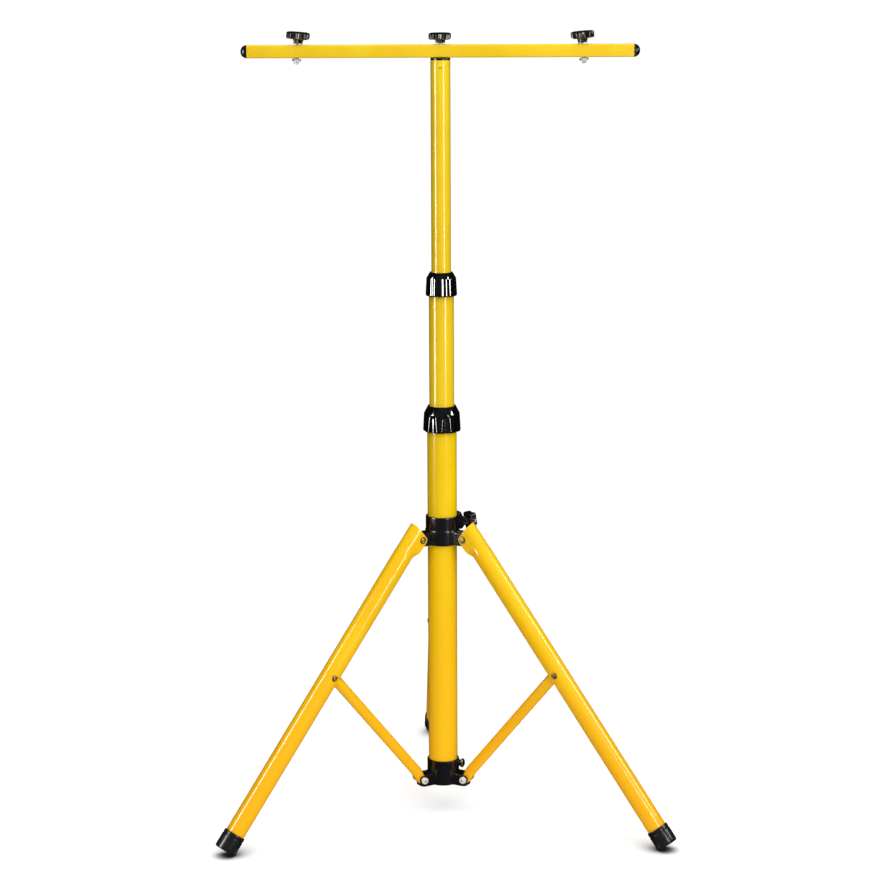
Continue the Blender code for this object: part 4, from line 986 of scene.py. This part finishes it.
def leg_section(side, height, reach):
    """A point of the leg's wall: side runs from -1 to 1 round the section from its inner seam."""
    flare_start, flare_end = -0.0310, -0.0150
    angle = math.pi * abs(side)
    sign = 1 if side >= 0 else -1
    round_x = LEG_OFFSET + LEG_R * math.cos(angle)
    round_y = LEG_R * math.sin(angle)
    quarter = CHEEK_HALF * math.pi / 2
    walk = abs(side) * (quarter + LEG_OFFSET + reach)
    if walk < quarter:
        flat_x = LEG_OFFSET + LEG_R * math.cos(walk / CHEEK_HALF)
        flat_y = CHEEK_HALF * math.sin(walk / CHEEK_HALF)
    else:
        flat_x = LEG_OFFSET - (walk - quarter)
        flat_y = CHEEK_HALF
    blend = smooth_step(height, flare_start, flare_end)
    return round_x + (flat_x - round_x) * blend, sign * (round_y + (flat_y - round_y) * blend)


def leg_shape():
    """A leg along Z: a tube whose top opens into two cheeks round the collar's lug."""
    columns, lower_rows, fine_rows, top_rows = 96, 12, 44, 24
    foot_end, flare, cheeks = -LEG_LENGTH + 0.0036, -0.0320, -0.0100
    crest_height, crest_slope = 0.0120, 0.265
    heights = [foot_end + (flare - foot_end) * row / lower_rows for row in range(lower_rows)]
    heights += [flare + (cheeks - flare) * row / fine_rows for row in range(fine_rows)]
    sections = [(height, 0.0045 + 0.0020 * smooth_step(height, -0.031, -0.006), None) for height in heights]
    for row in range(top_rows + 1):
        part = row / top_rows
        sections.append((cheeks, 0.0065 - 0.0022 * max(0.0, (part - 0.7) / 0.3)**2, part))
    shape = bmesh.new()
    rows = []
    for height, reach, part in sections:
        row = []
        for column in range(columns + 1):
            x, y = leg_section(-1 + 2 * column / columns, height, reach)
            crest = crest_height + crest_slope * (x - 0.0215)
            z = height if part is None else height + (crest - height) * part
            row.append(shape.verts.new((x, y, z)))
        rows.append(row)
    for row, after in zip(rows, rows[1:]):
        for column in range(columns):
            shape.faces.new((row[column], row[column + 1], after[column + 1], after[column]))
    bmesh.ops.remove_doubles(shape, verts=shape.verts, dist=0.00001)
    bmesh.ops.recalc_face_normals(shape, faces=shape.faces)
    outermost = Vector((LEG_OFFSET + LEG_R, 0, -0.2))
    face = min(shape.faces, key=lambda f: (f.calc_center_median() - outermost).length)
    if face.normal.x < 0:
        bmesh.ops.reverse_faces(shape, faces=shape.faces)
    thing = scene_object("leg", as_mesh(shape, "leg"))
    wall = thing.modifiers.new("wall", "SOLIDIFY")
    wall.thickness = LEG_WALL
    wall.offset = -1
    wall.use_even_offset = True
    rim = thing.modifiers.new("rim", "BEVEL")
    rim.width = 0.00035
    rim.segments = 2
    rim.limit_method = "ANGLE"
    rim.angle_limit = math.radians(55)
    return evaluated_shape(thing)


def slot_shape():
    """The cutter for the slot on a leg's inner side, where the brace comes out."""
    half, corner, reach = 0.0076, 0.0040, 0.010
    top = -RIVET_DEPTH + 0.0105
    bottom = -RIVET_DEPTH - 0.0700
    outline = round_corners([(-half, top, 0.001), (-half, bottom, corner), (half, bottom, corner),
                             (half, top, 0.001)], closed=True, segments=6)
    slot_x = LEG_OFFSET - (LEG_R - LEG_WALL) / 2
    facing = Matrix.Translation((slot_x - reach, 0, 0)) @ Matrix.Rotation(math.pi / 2, 4, "Z") @ UPRIGHT
    return prism(outline, -reach, reach, facing)


def brace_shape():
    """A brace along Z: a tube whose ends are closed in round noses about their pivots."""
    eye_r, eye_half, blend_length = 0.0060, 0.0068, 0.013
    nose = [-eye_r * math.cos(math.radians(angle)) for angle in range(12, 90, 12)]
    near = [blend_length * part / 8 for part in range(9)]
    lower = []
    for height in nose + near + [LINK_LENGTH / 2]:
        part = smooth_step(height, 0.0, blend_length)
        tall = math.sqrt(eye_r**2 - height**2) if height < 0 else eye_r + (BRACE_R - eye_r) * part
        wide = eye_half + (BRACE_R - eye_half) * part
        if height < 0:
            wide *= 0.55 + 0.45 * math.sqrt(1 - (height / eye_r)**2)
        lower.append((tall, wide, height, 4.0 - 2.0 * part, BRACE_OFFSET * part))
    upper = [(tall, wide, LINK_LENGTH - height, power, shift)
             for tall, wide, height, power, shift in reversed(lower[:-1])]
    shape = bmesh.new()
    rings = [[shape.verts.new((0, 0, -eye_r))]]
    rings += [soft_ring(shape, 64, *section) for section in lower + upper]
    rings.append([shape.verts.new((0, 0, LINK_LENGTH + eye_r))])
    for ring, after in zip(rings, rings[1:]):
        bridge(shape, ring, after)
    bmesh.ops.recalc_face_normals(shape, faces=shape.faces)
    return shape


def rivet_shape(half_width, head_r):
    """A rivet across a leg: low domed heads, one with a hollow centre."""
    shank_r = 0.0026
    end = half_width + 0.0016
    hollow_head = [(0, end - 0.0030, 0), (0.0014, end - 0.0028, 0.0003), (0.0016, end - 0.0004, 0.0003),
                   (0.0024, end, 0.0005), (head_r * 0.80, end - 0.0003, 0.0006),
                   (head_r, end - 0.0012, 0.0003), (head_r, half_width, 0.0001)]
    shank = [(shank_r, half_width, 0), (shank_r, -half_width, 0)]
    plain_head = [(head_r, -half_width, 0.0001), (head_r, -end + 0.0010, 0.0005),
                  (head_r * 0.72, -end + 0.0001, 0.0006), (0, -end, 0)]
    return lathe(hollow_head + shank + plain_head, 48)


def foot_shape():
    """A rubber cap on the leg's end, with a grip band and a worn base."""
    base, floor, height = -LEG_LENGTH, 0.0033, 0.0246
    seat_r, outer_r, base_r = LEG_R + GAP, 0.0144, 0.0136
    groove_r = outer_r - 0.0006
    top = base + height
    profile = [(0, base + floor, 0), (seat_r, base + floor, 0), (seat_r, top, 0.0004),
               (outer_r - 0.0003, top, 0.0007), (outer_r - 0.0001, top - 0.0040, 0.0003),
               (groove_r, top - 0.0046, 0.0003), (groove_r, top - 0.0056, 0.0003),
               (outer_r - 0.0001, top - 0.0062, 0.0003), (outer_r, base + 0.0030, 0.0010),
               (base_r, base, 0.0005), (0, base, 0)]
    shape = lathe(profile, 96)
    shape.transform(Matrix.Translation((LEG_OFFSET, 0, 0)))
    return shape


def build_leg(number):
    """A leg with its brace, pin, rivet, foot and hub bolt; the foot is cut off level with the floor."""
    place = upper_place(number)
    leg = carve(leg_shape(), cut=[slot_shape()])
    add_piece(f"leg_{number}", leg, LEG_PAINT, place, sharp=45)
    add_piece(f"brace_{number}", brace_shape(), LEG_PAINT, lower_place(number))
    pin = rivet_shape(CHEEK_HALF + GAP, head_r=0.0045)
    add_piece(f"leg_pin_{number}", pin, DARK, place @ ALONG_Y)
    across = place @ Matrix.Translation((LEG_OFFSET, 0, -RIVET_DEPTH)) @ ALONG_Y
    rivet = rivet_shape(LEG_R + GAP, head_r=0.0040)
    add_piece(f"mid_rivet_{number}", rivet, DARK, across)
    foot = foot_shape()
    foot.transform(place)
    foot = carve(foot, cut=[box((-0.6, -0.6, -0.1), (0.6, 0.6, 0.0))])
    add_piece(f"foot_{number}", foot, RUBBER)
    build_hub_bolt(number)


def finish_inner_nodes():
    """The pieces inside the tubes keep their solids, with the finish that their slot names."""
    for name, material in (("middle_tube_bush", NYLON), ("upper_tube_bush", NYLON), ("lower_collet", NYLON),
                           ("upper_collet", NYLON), ("plug_insert", ZINC), ("collar_insert", ZINC)):
        node = NODES[name]
        node.data.materials.clear()
        node.data.materials.append(material)


# Stage: floor, lights and camera

def build_floor():
    shape = bmesh.new()
    bmesh.ops.create_circle(shape, cap_ends=True, segments=96, radius=1.2)
    floor = scene_object("pale_floor", as_mesh(shape, "pale_floor"))
    floor.location.z = -0.0002
    floor.data.materials.append(FLOOR)
    floor.visible_glossy = False


def add_softbox(name, azimuth, distance, bottom, top, width, power, aim_height):
    """A standing softbox: azimuth 0 is in front of the tripod, by the camera, and positive to the right."""
    light = bpy.data.lights.new(name, "AREA")
    light.shape = "RECTANGLE"
    light.size = width
    light.size_y = top - bottom
    light.energy = power
    lamp = bpy.data.objects.new(name, light)
    angle = math.radians(azimuth)
    middle = (bottom + top) / 2
    lamp.location = (MAST.x + distance * math.sin(angle), MAST.y - distance * math.cos(angle), middle)
    aim = Vector((MAST.x, MAST.y, aim_height)) - lamp.location
    lamp.rotation_euler = aim.to_track_quat("-Z", "Y").to_euler()
    bpy.context.scene.collection.objects.link(lamp)
    return lamp


def build_world():
    """White to the camera, a dim room in reflections, and as fill a room brightest at the front right."""
    world = bpy.data.worlds.new("studio")
    bpy.context.scene.world = world
    world.use_nodes = True
    world.node_tree.nodes.clear()
    graph = Graph(world.node_tree)
    path = graph.add("ShaderNodeLightPath")
    x, y, z = graph.split(graph.wire("ShaderNodeTexCoord", output="Generated"))
    facing = 0.28 * x - 0.88 * y + 0.38 * z
    behind = 0.36 * graph.smooth_step(facing * -1, 0.30, 0.9)
    fill_level = 0.03 + 0.86 * graph.smooth_step(facing, 0.0, 0.9) + behind
    mirror_level = 0.004 + 0.03 * graph.smooth_step(facing, 0.35, 1.0)
    white, daylight = (1, 1, 1, 1), (0.98, 0.99, 1, 1)
    backdrop = graph.wire("ShaderNodeBackground", sockets={"Color": white, "Strength": 1.05})
    fill = graph.wire("ShaderNodeBackground", sockets={"Color": daylight, "Strength": fill_level})
    mirror = graph.wire("ShaderNodeBackground", sockets={"Color": daylight, "Strength": mirror_level})
    glossy = Wire(graph, path.outputs["Is Glossy Ray"])
    seen = Wire(graph, path.outputs["Is Camera Ray"])
    room = graph.wire("ShaderNodeMixShader", sockets={0: glossy, 1: fill, 2: mirror})
    mixed = graph.wire("ShaderNodeMixShader", sockets={0: seen, 1: room, 2: backdrop})
    graph.add("ShaderNodeOutputWorld", sockets={"Surface": mixed})


def build_lights():
    """Three strips that show only in the paint's shine, and two broad lights that show only as fill."""
    left = add_softbox("left_strip", azimuth=-64, distance=2.0, bottom=0.14, top=1.84, width=0.42,
                       power=38, aim_height=1.0)
    right = add_softbox("right_strip", azimuth=37, distance=2.0, bottom=0.24, top=1.16, width=0.28,
                        power=11, aim_height=0.7)
    side = add_softbox("side_strip", azimuth=78, distance=2.0, bottom=1.16, top=1.84, width=0.46,
                       power=12, aim_height=0.6)
    for strip in (left, right, side):
        strip.visible_diffuse = False
    key = add_softbox("key", azimuth=38, distance=3.2, bottom=1.7, top=3.5, width=2.0,
                      power=38, aim_height=0.5)
    overhead = add_softbox("overhead", azimuth=0, distance=0.05, bottom=1.3, top=3.7, width=2.4,
                           power=44, aim_height=0.0)
    overhead.location = (MAST.x, MAST.y - 0.3, 2.4)
    overhead.rotation_euler = (0, 0, 0)
    key.visible_glossy = False
    overhead.visible_glossy = False


def build_camera():
    """The photograph's viewpoint, with its place measured from the mast's axis."""
    focal_length, distance, height = 92.66, 2.8917, 1.0839
    yaw, pitch, roll = math.radians(0.078), math.radians(11.555), math.radians(-0.221)
    camera = bpy.data.cameras.new("camera")
    camera.sensor_width = 36
    camera.lens = focal_length
    forward = Vector((math.sin(yaw) * math.cos(pitch), math.cos(yaw) * math.cos(pitch), -math.sin(pitch)))
    level = Vector((math.cos(yaw), -math.sin(yaw), 0))
    upward = level.cross(forward)
    right = math.cos(roll) * level + math.sin(roll) * upward
    top = math.cos(roll) * upward - math.sin(roll) * level
    holder = bpy.data.objects.new("camera", camera)
    holder.matrix_world = Matrix((right, top, -forward)).transposed().to_4x4()
    holder.location = (MAST.x, MAST.y - distance, height)
    bpy.context.scene.collection.objects.link(holder)
    bpy.context.scene.camera = holder


build_mast()
build_crossbar()
build_leg_collar()
build_hub()
for leg_number in LEGS:
    build_leg(leg_number)
finish_inner_nodes()
build_floor()
build_world()
build_lights()
build_camera()
bpy.context.scene.view_settings.view_transform = "Standard"
